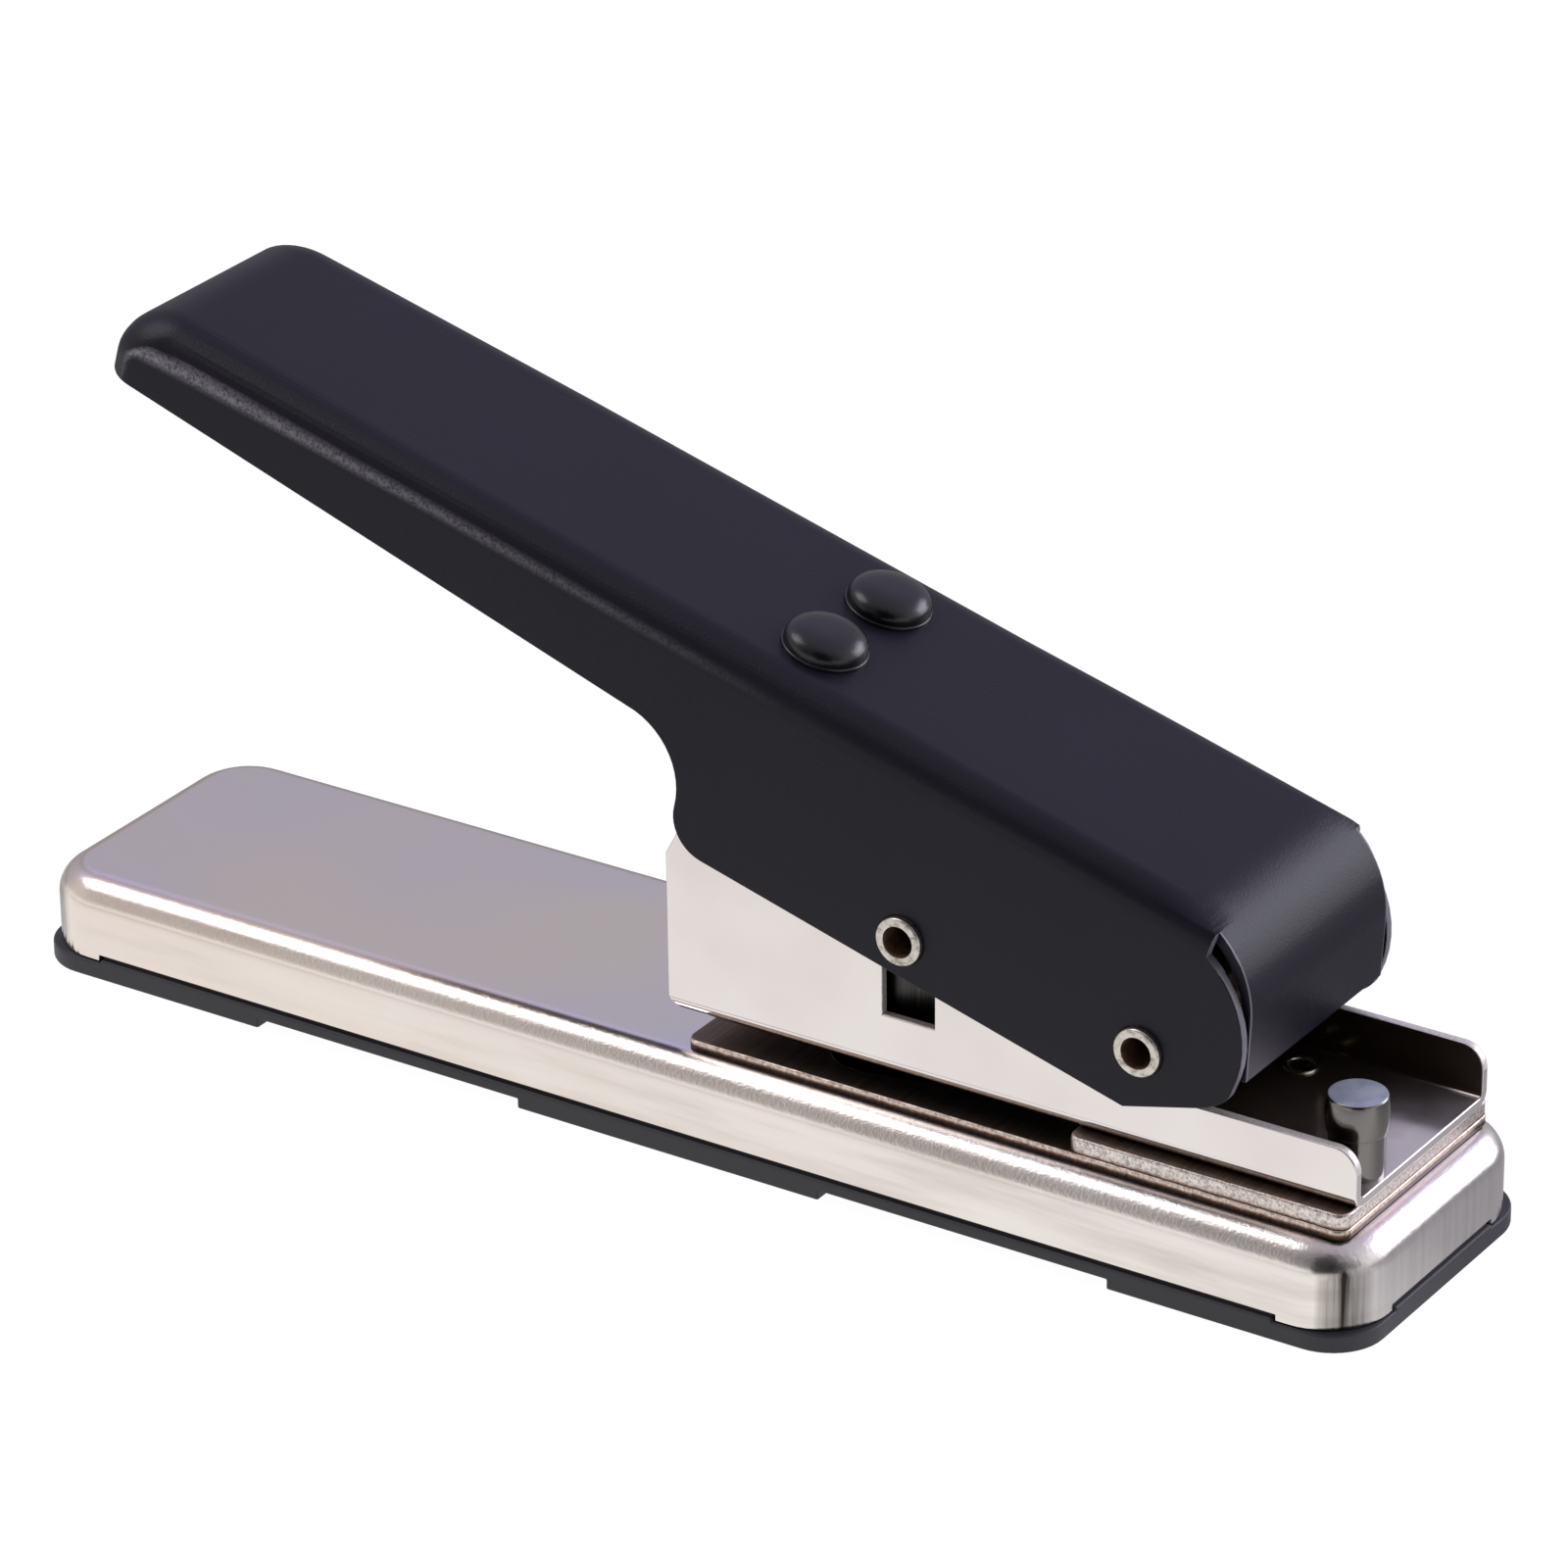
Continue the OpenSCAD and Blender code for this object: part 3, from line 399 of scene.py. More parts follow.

# %% [markdown]
# ## The shell
# The base is drawn from sheet steel in one stroke of a press and then nickel plated. The flat top stays
# satin smooth under a painted reflection tint that drifts from yellow to blue, and a painted dark
# reflection turns it brown where the bend begins. The ends are painted a darker grey as painted shade,
# and the corners near black in streaks as a painted dark reflection. Where the sheet was stretched over
# the die's radius, the surface roughens to a hammered look, and near the corners the tool has left
# upright draw marks. Both are bumps that are masked by where they sit, so the flat top stays calm.

# %% Shell
def satin_nickel():
    """Nickel plate on drawn steel: a soft warm mirror, hammered on the bend and scored at the ends."""
    material, tree, mm = begin("satin_nickel_on_drawn_steel", Metallic=1.0)
    along = add(tree, "SeparateXYZ", {"Vector": mm})
    tilt = add(tree, "SeparateXYZ", {"Vector": add(tree, "NewGeometry").outputs["Normal"]})
    upright = add(tree, "MapRange", {"Value": tilt.outputs["Z"], "From Min": 0.35, "From Max": 0.05})
    # Stains of the plating bath are long and low, and the rear is a little yellower
    stains = add(tree, "Mapping", {"Vector": mm, "Scale": (1 / 26.0, 1 / 26.0, 1 / 2.6)})
    cloud = add(tree, "TexNoise", {"Vector": stains.outputs["Vector"], "Scale": 1.0, "Detail": 3.0})
    tint = add(tree, "ValToRGB", {"Fac": cloud.outputs["Fac"]}, stops=[
        (0.3, "#d8d0c9"), (0.5, "#ebe4de"), (0.7, "#f0ebe6")])
    rear = add(tree, "MapRange", {"Value": along.outputs["X"], "From Min": -85.0, "From Max": 55.0,
                                  "To Min": 0.6, "To Max": 0.0})
    facing_up = add(tree, "MapRange", {"Value": tilt.outputs["Z"], "From Min": 0.8, "From Max": 0.99})
    # Painted reflection: on the flat top a tint stands for the room's reflection, yellow in one place and blue in
    # the next
    painted_reflection_drift = add(tree, "TexNoise", {"Vector": mm, "Scale": 1 / 40.0, "Detail": 1.0})
    patches = add(tree, "ValToRGB", {"Fac": painted_reflection_drift.outputs["Fac"]}, stops=[
        (0.36, "#e8e1d2"), (0.5, "#e0dcdf"), (0.64, "#d9dae7")])
    cool = add(tree, "MixRGB", {"Fac": facing_up.outputs[0], "Color1": tint.outputs["Color"],
                                "Color2": patches.outputs["Color"]})
    # Painted dark reflection: where the bend begins, a faint brown band darkens the plate
    painted_dark_band = add(tree, "ValToRGB", {"Fac": tilt.outputs["Z"]}, stops=[
        (0.82, "#ffffff"), (0.92, "#fbf7ee"), (0.965, "#efe6db"), (0.99, "#ffffff")])
    warm = add(tree, "MixRGB", {"Fac": rear.outputs[0], "Color1": cool.outputs["Color"],
                                "Color2": srgb("#e6d7cb")})
    toned = add(tree, "MixRGB", {"Fac": 1.0, "Color1": warm.outputs["Color"],
                                 "Color2": painted_dark_band.outputs["Color"]}, blend_type="MULTIPLY")
    # Draw marks are thin upright scores on the last stretch before each corner, and all over the ends
    score_lines = add(tree, "Mapping", {"Vector": mm, "Scale": (1 / 0.9, 1 / 0.9, 1 / 30.0)})
    scores = add(tree, "TexNoise", {"Vector": score_lines.outputs["Vector"], "Scale": 1.0, "Detail": 3.0})
    facing_end = add(tree, "Math", {0: tilt.outputs["X"]}, operation="ABSOLUTE")
    on_end = add(tree, "MapRange", {"Value": facing_end.outputs[0], "From Min": 0.6, "From Max": 0.97,
                                    "To Max": 0.7})
    # Painted shade: faces that look along X are painted a darker grey, streaked by the draw marks
    grey = add(tree, "ValToRGB", {"Fac": scores.outputs["Fac"]}, stops=[(0.35, "#b2aeb0"), (0.6, "#bebabc")])
    ends = add(tree, "MixRGB", {"Fac": on_end.outputs[0], "Color1": toned.outputs["Color"],
                                "Color2": grey.outputs["Color"]})
    # Painted dark reflection: round the corners the plate is painted near black, in streaks
    facing_side = add(tree, "Math", {0: tilt.outputs["Y"]}, operation="ABSOLUTE")
    turned = add(tree, "Math", {0: facing_end.outputs[0], 1: facing_side.outputs[0]}, operation="MULTIPLY")
    painted_corner_dark = add(tree, "MapRange", {"Value": turned.outputs[0], "From Min": 0.32, "From Max": 0.49,
                                    "To Max": 1.5})
    painted_corner_dark = add(tree, "Math", {0: painted_corner_dark.outputs[0], 1: scores.outputs["Fac"]}, operation="MULTIPLY")
    colour = add(tree, "MixRGB", {"Fac": painted_corner_dark.outputs[0], "Color1": ends.outputs["Color"],
                                  "Color2": srgb("#2e2a28")})
    # Stretched grain on the radius, where the surface faces neither up nor sideways, most of it at the front
    slope = add(tree, "MapRange", {"Value": tilt.outputs["Z"], "From Min": 0.1, "From Max": 0.55})
    flat = add(tree, "MapRange", {"Value": tilt.outputs["Z"], "From Min": 0.93, "From Max": 0.995,
                                  "To Min": 1.0, "To Max": 0.0})
    bent = add(tree, "Math", {0: slope.outputs[0], 1: flat.outputs[0]}, operation="MULTIPLY")
    forward = add(tree, "MapRange", {"Value": along.outputs["X"], "From Min": -60.0, "From Max": 20.0,
                                     "To Min": 0.5})
    bent = add(tree, "Math", {0: bent.outputs[0], 1: forward.outputs[0]}, operation="MULTIPLY")
    hammer = add(tree, "TexNoise", {"Vector": mm, "Scale": 1 / 0.45, "Detail": 3.0, "Roughness": 0.6})
    hammered = add(tree, "Math", {0: hammer.outputs["Fac"], 1: bent.outputs[0]}, operation="MULTIPLY")
    reach = add(tree, "Math", {0: along.outputs["X"]}, operation="ABSOLUTE")
    near_corner = add(tree, "MapRange", {"Value": reach.outputs[0], "From Min": 74.0, "From Max": 83.0,
                                         "To Max": 3.5})
    scored = add(tree, "Math", {0: near_corner.outputs[0], 1: upright.outputs[0]}, operation="MULTIPLY")
    scored = add(tree, "Math", {0: scored.outputs[0], 1: scores.outputs["Fac"]}, operation="MULTIPLY")
    relief = add(tree, "Math", {0: hammered.outputs[0], 1: scored.outputs[0]}, operation="ADD")
    bump = add(tree, "Bump", {"Height": relief.outputs[0], "Strength": 0.8, "Distance": 0.05 * MM})
    fine = add(tree, "TexNoise", {"Vector": mm, "Scale": 1 / 1.5, "Detail": 4.0})
    gloss = add(tree, "MapRange", {"Value": fine.outputs["Fac"], "To Min": 0.15, "To Max": 0.22})
    # Stretching also makes the bend a little duller
    dull = add(tree, "Math", {0: bent.outputs[0], 1: 0.07, 2: gloss.outputs["Result"]},
               operation="MULTIPLY_ADD")
    return dress(material, colour, dull, bump)


SHELL_SLICES = range(-80, 81, 16)
shell = slice_along(merged_copy("base_shell"), SHELL_SLICES)
show(ease(shell, EASED["base_shell"]), "base_shell", satin_nickel())

# %% [markdown]
# ## The die plate and the spacer
# Both plates are blanked from ground sheet. A blanked edge has a burnished band where the punch entered
# and a torn, granular band below it, often with a breath of copper from the plating bath. Faces and edges
# are told apart by their normals, so that each gets its own finish.

# %% Plates
# How far in from the outline a rim may lie, in mm, and how upright a normal is on a flat face
RIM_REACH, TOUCH, FLAT_UP = 3.5, 0.01, 0.98


def ground_steel():
    """Ground sheet steel under oil: a dark mirror with faint lines across the plate."""
    material, tree, mm = begin("ground_sheet_steel", Metallic=1.0)
    lines = add(tree, "Mapping", {"Vector": mm, "Scale": (1 / 0.25, 1 / 25.0, 1.0)})
    grind = add(tree, "TexNoise", {"Vector": lines.outputs["Vector"], "Scale": 1.0, "Detail": 2.0})
    tone = add(tree, "ValToRGB", {"Fac": grind.outputs["Fac"]}, stops=[(0.3, "#6a5c52"), (0.7, "#80736a")])
    gloss = add(tree, "MapRange", {"Value": grind.outputs["Fac"], "To Min": 0.26, "To Max": 0.38})
    return dress(material, tone, gloss)


def sheared_edge(name, bottom, thickness, coarse, stops):
    """Edge of a blanked plate: copper-tinted lines along it, and a torn grain between them."""
    material, tree, mm = begin(name, Metallic=1.0, Roughness=0.36)
    rise = add(tree, "SeparateXYZ", {"Vector": mm}).outputs["Z"]
    wander = add(tree, "TexNoise", {"Vector": mm, "Scale": 1 / 1.2, "Detail": 2.0})
    shift = add(tree, "MapRange", {"Value": wander.outputs["Fac"], "To Min": -0.12, "To Max": 0.12})
    wavy = add(tree, "Math", {0: rise, 1: shift.outputs[0]}, operation="ADD")
    share = add(tree, "MapRange", {"Value": wavy.outputs[0], "From Min": bottom,
                                   "From Max": bottom + thickness})
    # The bands are darker towards the plate's bottom, and a little darker at the top edge
    bands = add(tree, "ValToRGB", {"Fac": share.outputs[0]}, stops=stops)
    grain = add(tree, "TexNoise", {"Vector": mm, "Scale": 1 / coarse, "Detail": 3.0, "Roughness": 0.7})
    speckle = add(tree, "ValToRGB", {"Fac": grain.outputs["Fac"]}, stops=[
        (0.35, "#9a8f8a"), (0.6, "#ffffff")])
    colour = add(tree, "MixRGB", {"Fac": 0.8, "Color1": bands.outputs["Color"],
                                  "Color2": speckle.outputs["Color"]}, blend_type="MULTIPLY")
    bump = add(tree, "Bump", {"Height": grain.outputs["Fac"], "Strength": 0.6, "Distance": 0.08 * MM})
    return dress(material, colour, bump=bump)


def plate(node, coarse, roll, stops):
    """A plate whose faces are ground. Its edges are sheared, and rounded on top where the blade went in."""
    low, high = (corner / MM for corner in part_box(node))

    def on_top_rim(p):
        near_end = min(p.x - low.x, high.x - p.x) < RIM_REACH
        near_side = min(p.y - low.y, high.y - p.y) < RIM_REACH
        return p.z > high.z - TOUCH and (near_end or near_side)

    bm = ease(merged_copy(node), roll, segments=4, only=on_top_rim)
    ease(bm, EASED[node])
    bm.normal_update()
    for face in bm.faces:
        face.material_index = 1 if abs(face.normal.z) < FLAT_UP else 0
    edge = sheared_edge(f"sheared_edge_of_{node}", low.z, high.z - low.z, coarse, stops)
    return show(bm, node, GROUND_STEEL, edge)


GROUND_STEEL = ground_steel()
plate("die_plate", 0.5, 0.3, [(0.0, "#2c231f"), (0.3, "#4a3a32"), (0.5, "#84695a"), (0.62, "#dcc3b2"),
                              (0.8, "#f0e6df"), (0.93, "#e3d2c6"), (1.0, "#7a5c4b")])
plate("spacer_plate", 0.35, 0.4, [(0.0, "#4a382f"), (0.12, "#b79f8f"), (0.22, "#e6dcd6"), (0.6, "#f2ebe6"),
                                  (0.9, "#ece4df"), (1.0, "#cdb8ac")])

# %% [markdown]
# ## The guide channel
# The channel is folded from bright nickel-plated strip. Rolling has left hair-fine lines along the strip,
# which draw every reflection out a little, and the walls look almost like satin paper while the floor
# stays a mirror. Where the strip was cut, along the walls' tops and round the windows, the edge is paler
# and duller. Inside lies a film of old oil, and painted shade makes the inner walls and the floor under
# the lever dark brown, while the front lip stays bright. The three finishes share one piece, and each
# face gets its own by where it lies and looks.

# %% Guide channel
def bright_nickel():
    """Nickel plate on rolled strip: a bright, slightly warm mirror, drawn out along the rolling lines."""
    material, tree, mm = begin("bright_nickel_on_rolled_strip", Metallic=1.0)
    lines = add(tree, "Mapping", {"Vector": mm, "Scale": (1 / 30.0, 1 / 0.35, 1 / 0.35)})
    rolled = add(tree, "TexNoise", {"Vector": lines.outputs["Vector"], "Scale": 1.0, "Detail": 3.0})
    cloud = add(tree, "TexNoise", {"Vector": mm, "Scale": 1 / 14.0, "Detail": 2.0})
    tint = add(tree, "ValToRGB", {"Fac": cloud.outputs["Fac"]}, stops=[(0.3, "#e5dedb"), (0.7, "#ece7e4")])
    gloss = add(tree, "MapRange", {"Value": rolled.outputs["Fac"], "To Min": 0.06, "To Max": 0.14})
    bump = add(tree, "Bump", {"Height": rolled.outputs["Fac"], "Strength": 0.1, "Distance": 0.01 * MM})
    return dress(material, tint, gloss, bump)


def cut_nickel():
    """Cut edge of the plated strip: pale, dull and a little torn."""
    material, tree, mm = begin("cut_nickel_edge", Metallic=0.45, Roughness=0.4)
    grain = add(tree, "TexNoise", {"Vector": mm, "Scale": 1 / 0.4, "Detail": 3.0})
    tone = add(tree, "ValToRGB", {"Fac": grain.outputs["Fac"]}, stops=[(0.3, "#d9d0ca"), (0.6, "#f0e9e4")])
    bump = add(tree, "Bump", {"Height": grain.outputs["Fac"], "Strength": 0.4, "Distance": 0.04 * MM})
    return dress(material, tone, bump=bump)


def oiled_and_shaded_nickel():
    """The channel's inside: old oil and painted shade, dark brown on its walls and under the lever, bright at the
    front lip.
    """
    material, tree, mm = begin("oiled_nickel_with_painted_shade", Metallic=0.82)
    along = add(tree, "SeparateXYZ", {"Vector": mm}).outputs["X"]
    patches = add(tree, "TexNoise", {"Vector": mm, "Scale": 1 / 6.0, "Detail": 3.0})
    shift = add(tree, "MapRange", {"Value": patches.outputs["Fac"], "To Min": -5.0, "To Max": 5.0})
    place = add(tree, "Math", {0: along, 1: shift.outputs[0]}, operation="ADD")
    lip_clean_and_lit = add(tree, "MapRange", {"Value": place.outputs[0], "From Min": 62.0, "From Max": 84.0})
    tilt = add(tree, "SeparateXYZ", {"Vector": add(tree, "NewGeometry").outputs["Normal"]})
    on_floor = add(tree, "MapRange", {"Value": tilt.outputs["Z"], "From Min": 0.5, "From Max": 0.9})
    share = add(tree, "Math", {0: lip_clean_and_lit.outputs[0], 1: on_floor.outputs[0]}, operation="MULTIPLY")
    # Painted shade with the oil: dark brown on the walls and behind the front lip, bright on the lip's floor
    tone = add(tree, "ValToRGB", {"Fac": share.outputs[0]}, stops=[
        (0.0, "#5c5045"), (0.6, "#7d7065"), (1.0, "#e0d7d6")])
    gloss = add(tree, "MapRange", {"Value": patches.outputs["Fac"], "To Min": 0.1, "To Max": 0.22})
    return dress(material, tone, gloss)


# A cut edge lies this far above the channel's foot and doesn't face sideways, an inner face looks in or up
CUT_ABOVE, SIDEWAYS, UPWARD = 2.5, 0.4, 0.5
channel = ease(merged_copy("guide_channel"), EASED["guide_channel"])
channel_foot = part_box("guide_channel")[0].z / MM
for face in channel.faces:
    middle = face.calc_center_median() / MM
    inward = face.normal.y * middle.y < -SIDEWAYS * abs(middle.y) or face.normal.z > UPWARD
    if middle.z - channel_foot > CUT_ABOVE and abs(face.normal.y) < SIDEWAYS:
        face.material_index = 1
    elif inward:
        face.material_index = 2
show(channel, "guide_channel", bright_nickel(), cut_nickel(), oiled_and_shaded_nickel())

# %% [markdown]
# ## The lever
# The lever is one folded sheet under a satin black powder coat. Paint is no metal: its colour is nearly
# black, and what it shows is the weak reflection of the room. Powder flows into a skin with a fine peel.
# A grainy grey line is painted on the peaks of that peel along the folds as a painted highlight on each
# side, and a thin painted highlight runs along the cut edges beside the apron's slits.
#
# The fold along each side isn't even: the press has left it wide at the tail and tight near the apron,
# and the tail itself rolls down softly. The copy is turned into the lever's own frame, with its origin on
# the pivot pin and X along the lever, where that is easy to say: each vertex of the fold moves by its own
# share away from the end, from the side and from the top.

# %% Measures of the lever
LEVER_TOP, LEVER_HALF, LEVER_TAIL, LEVER_SHEET = 19.1, 16.5, 146.6, 1.2
LEVER_EDGE, TAIL_CORNER, TAIL_ROLL, SKIN_SLACK = 3.6, 4.0, 7.2, 0.05
# Place along the lever, then how far the fold reaches over the top and down the side there
FOLD = [(-146.6, 5.2, 6.2), (-136.0, 5.2, 5.6), (-122.0, 5.0, 5.0), (-100.0, 4.4, 4.4), (-40.0, 4.2, 4.2),
        (-14.0, 3.4, 3.4), (-1.2, 3.6, 3.6)]
# Slices along the lever, across it, and below the fold ahead of the last wide slice
SLICES_ALONG = (-136, -130, -124, -118, -112, *range(-100, 0, 12))
SLICES_ACROSS = (-11, -6, 6, 11)
SLICE_DOWN, SLICE_START = 5.2, -16.1
# The slits' root, and the zone whose creases stay sharp: its range of X, its reach from the middle, its foot
SLIT_ROOT, SLIT_ZONE, SLIT_IN, SLIT_FOOT = 4.2, (-3.0, 6.7), 14.6, 14.1
# Ranges of X, distance from the middle and Z in mm, where the hollow's corner just meets the apron's skin
PINHOLE = ((4.0, 4.21), (12.85, 13.5), (17.8, 17.96))
PINHOLE_Z = 17.84
REST_LIFT = math.radians(15.55)
HINGE = next(joint for joint in frame["joints"] if joint["name"] == "lever_hinge")
ON_LEVER = Matrix.Translation(Vector(HINGE["pos_m"])) @ Matrix.Rotation(REST_LIFT, 4, "Y")
print(f"lever frame: pivot at {tuple(round(c / MM, 1) for c in HINGE['pos_m'])} mm")

# %% Fold and slits of the lever
def plan_inset(x, y):
    """How far a point lies inside the lever's plan outline, and the way straight out of it, in mm."""
    corner = Vector((TAIL_CORNER - LEVER_TAIL, math.copysign(LEVER_HALF - TAIL_CORNER, y)))
    away = Vector((x, y)) - corner
    behind, beside = x < corner.x, abs(y) > abs(corner.y)
    if behind and beside:
        return TAIL_CORNER - away.length, away.normalized()
    if behind:
        return x + LEVER_TAIL, Vector((-1, 0))
    return LEVER_HALF - abs(y), Vector((0, math.copysign(1, y)))


def fold_at(x):
    """Reach of the fold over the top and down the side at a place along the lever."""
    for (x0, over0, down0), (x1, over1, down1) in zip(FOLD, FOLD[1:]):
        if x <= x1:
            share = max(x - x0, 0) / (x1 - x0)
            return over0 + (over1 - over0) * share, down0 + (down1 - down0) * share
    return FOLD[-1][1:]


def eased_in(reach):
    """Share of a shift: all of it up to the old corner's width, then less and less further in."""
    return reach if reach <= TAIL_CORNER else max(TAIL_CORNER - (reach - TAIL_CORNER) / 2, 0)


def vary_fold(bm):
    """Changes the fold's reach from tail to apron and rolls the tail, on the sheet's two skins alike."""
    for v in bm.verts:
        x, y, z = v.co / MM
        inset, out = plan_inset(x, y)
        drop = LEVER_TOP - z
        depth = math.hypot(max(LEVER_EDGE - inset, 0), max(LEVER_EDGE - drop, 0))
        skin = [r for r in (LEVER_EDGE, LEVER_EDGE - LEVER_SHEET) if abs(depth - r) < SKIN_SLACK]
        if not skin or drop > LEVER_EDGE + SKIN_SLACK:
            continue
        # A point of the inner skin moves with the point of the outer skin that faces it
        swell = LEVER_EDGE / skin[0]
        reach = LEVER_EDGE - (LEVER_EDGE - inset) * swell if inset < LEVER_EDGE else inset
        fall = max(LEVER_EDGE - (LEVER_EDGE - drop) * swell, 0)
        over, down = fold_at(x)
        high = max(1 - fall / LEVER_EDGE, 0)
        rounded, gentle = math.sqrt(high), high * high * (3 - 2 * high)
        # The part of each distance that the fold's round makes, and the rest, which the plan's corner makes
        back, side = reach * -out.x, reach * abs(out.y)
        behind, aside = x + LEVER_TAIL + inset * out.x, LEVER_HALF - abs(y) - inset * abs(out.y)
        roll = eased_in(back) * rounded + eased_in(behind) * gentle
        spread = eased_in(side) * rounded + eased_in(aside) * gentle
        inwards = -math.copysign(spread * (over / LEVER_EDGE - 1), y)
        v.co += Vector((roll * (TAIL_ROLL / LEVER_EDGE - 1), inwards, -fall * (down / LEVER_EDGE - 1))) * MM
    return bm


def close_pinholes(bm):
    """Draws the rim of the pinhole beside each slit's root together on the line where the slit ends."""
    for v in bm.verts:
        place = (v.co.x / MM, abs(v.co.y) / MM, v.co.z / MM)
        if all(low < p < high for p, (low, high) in zip(place, PINHOLE)):
            v.co.x, v.co.z = SLIT_ROOT * MM, PINHOLE_Z * MM
    return bm


def clear_of_slits(p):
    """True for a place in mm that lies away from the creases beside the apron's slits."""
    beside = abs(p.y) < SLIT_IN or p.z > SLIT_FOOT
    return not (SLIT_ZONE[0] < p.x < SLIT_ZONE[1] and beside)


print("reach of the fold in mm, at the tail and at the apron:", fold_at(-LEVER_TAIL), fold_at(0))

# %% Lever
def powder_coat():
    """Satin black powder coat on steel: near black, with painted grey highlights along the folds and on cut edges.
    """
    material, tree, mm = begin("satin_black_powder_coat", IOR=1.5, Specular_IOR_Level=0.25)
    cloud = add(tree, "TexNoise", {"Vector": mm, "Scale": 1 / 20.0, "Detail": 2.0})
    tone = add(tree, "ValToRGB", {"Fac": cloud.outputs["Fac"]}, stops=[(0.3, "#120f1b"), (0.7, "#161321")])
    # Peel of fine powder is about 0.2 mm wide, drawn as 0.35 mm so that it shows
    peel = add(tree, "TexNoise", {"Vector": mm, "Scale": 1 / 0.35, "Detail": 2.0})
    # Painted highlight: the peaks of the peel are painted grey along the fold, most of all at the tail
    turn = add(tree, "SeparateXYZ", {"Vector": add(tree, "NewGeometry").outputs["Normal"]})
    outward = add(tree, "Math", {0: turn.outputs["Y"]}, operation="ABSOLUTE")
    brow = add(tree, "MapRange", {"Value": outward.outputs[0], "From Min": 0.88, "From Max": 0.95})
    foot = add(tree, "MapRange", {"Value": outward.outputs[0], "From Min": 0.996, "From Max": 0.97})
    upward = add(tree, "MapRange", {"Value": turn.outputs["Z"], "From Min": 0.03, "From Max": 0.1})
    sideways = add(tree, "MapRange", {"Value": turn.outputs["X"], "From Min": -0.38, "From Max": -0.16})
    spot = add(tree, "SeparateXYZ", {"Vector": mm})
    highlight_towards_tail = add(tree, "MapRange", {"Value": spot.outputs["X"], "From Min": 15.0, "From Max": -70.0})
    peaks = add(tree, "MapRange", {"Value": peel.outputs["Fac"], "From Min": 0.3, "From Max": 0.6,
                                   "To Min": 0.25})
    painted_fold_highlight = brow
    for share in (foot, upward, highlight_towards_tail, sideways, peaks):
        painted_fold_highlight = add(tree, "Math", {0: painted_fold_highlight.outputs[0], 1: share.outputs[0]}, operation="MULTIPLY")
    grey = add(tree, "MixRGB", {"Fac": painted_fold_highlight.outputs[0], "Color1": tone.outputs["Color"],
                                "Color2": srgb("#8f8d92")})
    # Painted highlight: a thin light line on the cut front edges of the walls and along the apron's rims
    apart = add(tree, "Math", {0: spot.outputs["Y"]}, operation="ABSOLUTE")
    rim = add(tree, "MapRange", {"Value": apart.outputs[0], "From Min": 14.62, "From Max": 14.72})
    ahead = add(tree, "MapRange", {"Value": turn.outputs["X"], "From Min": 0.64, "From Max": 0.74})
    painted_edge_highlight = add(tree, "Math", {0: rim.outputs[0], 1: ahead.outputs[0]}, operation="MULTIPLY")
    colour = add(tree, "MixRGB", {"Fac": painted_edge_highlight.outputs[0], "Color1": grey.outputs["Color"],
                                  "Color2": srgb("#77757b")})
    bump = add(tree, "Bump", {"Height": peel.outputs["Fac"], "Strength": 0.45, "Distance": 0.05 * MM})
    gloss = add(tree, "MapRange", {"Value": cloud.outputs["Fac"], "To Min": 0.36, "To Max": 0.42})
    return dress(material, colour, gloss, bump)


lever = merged_copy("lever")
lever.transform(ON_LEVER.inverted())
slice_along(lever, SLICES_ALONG)
slice_along(lever, SLICES_ACROSS, axis=(0, 1, 0))
slice_along(lever, (LEVER_TOP - SLICE_DOWN,), axis=(0, 0, 1), ahead_of=SLICE_START)
vary_fold(lever)
close_pinholes(lever)
ease(lever, EASED["lever"], only=clear_of_slits)
lever.transform(ON_LEVER)
show(lever, "lever", powder_coat())

# %% [markdown]
# ## Turned pieces
# Rivets, pins, the post and the eyelets are round, so each one is a half profile of a few points that is
# spun about its axis. The corners of the profile are then bevelled, which gives the rolled lips and eased
# rims that a riveting tool leaves.

# %% Spinning a profile
SPIN_STEPS = 72
ACROSS = Matrix.Rotation(math.radians(90), 4, "X")


def spun(profile, closed=False):
    """Spins (radius, height) points in mm about Z. An open profile starts and ends on the axis."""
    bm = bmesh.new()
    verts = [bm.verts.new((r * MM, 0, h * MM)) for r, h in profile]
    pairs = list(zip(verts, verts[1:])) + ([(verts[-1], verts[0])] if closed else [])
    edges = [bm.edges.new(pair) for pair in pairs]
    bmesh.ops.spin(bm, geom=verts + edges, cent=(0, 0, 0), axis=(0, 0, 1), angle=math.tau,
                   steps=SPIN_STEPS, use_merge=True)
    bmesh.ops.remove_doubles(bm, verts=bm.verts, dist=MERGE)
    bmesh.ops.recalc_face_normals(bm, faces=bm.faces)
    return bm


def ease_rim(bm, radius, height, width, segments=4):
    """Bevels the circle of edges at one radius and height of a spun shape, all in mm."""
    def on_rim(v):
        return abs(v.co.xy.length / MM - radius) < TOUCH and abs(v.co.z / MM - height) < TOUCH

    rim = [e for e in bm.edges if all(on_rim(v) for v in e.verts)]
    bmesh.ops.bevel(bm, geom=rim, offset=width * MM, offset_type="OFFSET", segments=segments, profile=0.5,
                    affect="EDGES", clamp_overlap=False, material=-1)


def gather(target, shape, matrix):
    """Moves a shape into place and adds it to the target bmesh."""
    shape.transform(matrix)
    carrier = bpy.data.meshes.new("carrier")
    shape.to_mesh(carrier)
    shape.free()
    target.from_mesh(carrier)
    bpy.data.meshes.remove(carrier)


print(f"round pieces are spun in {SPIN_STEPS} steps")

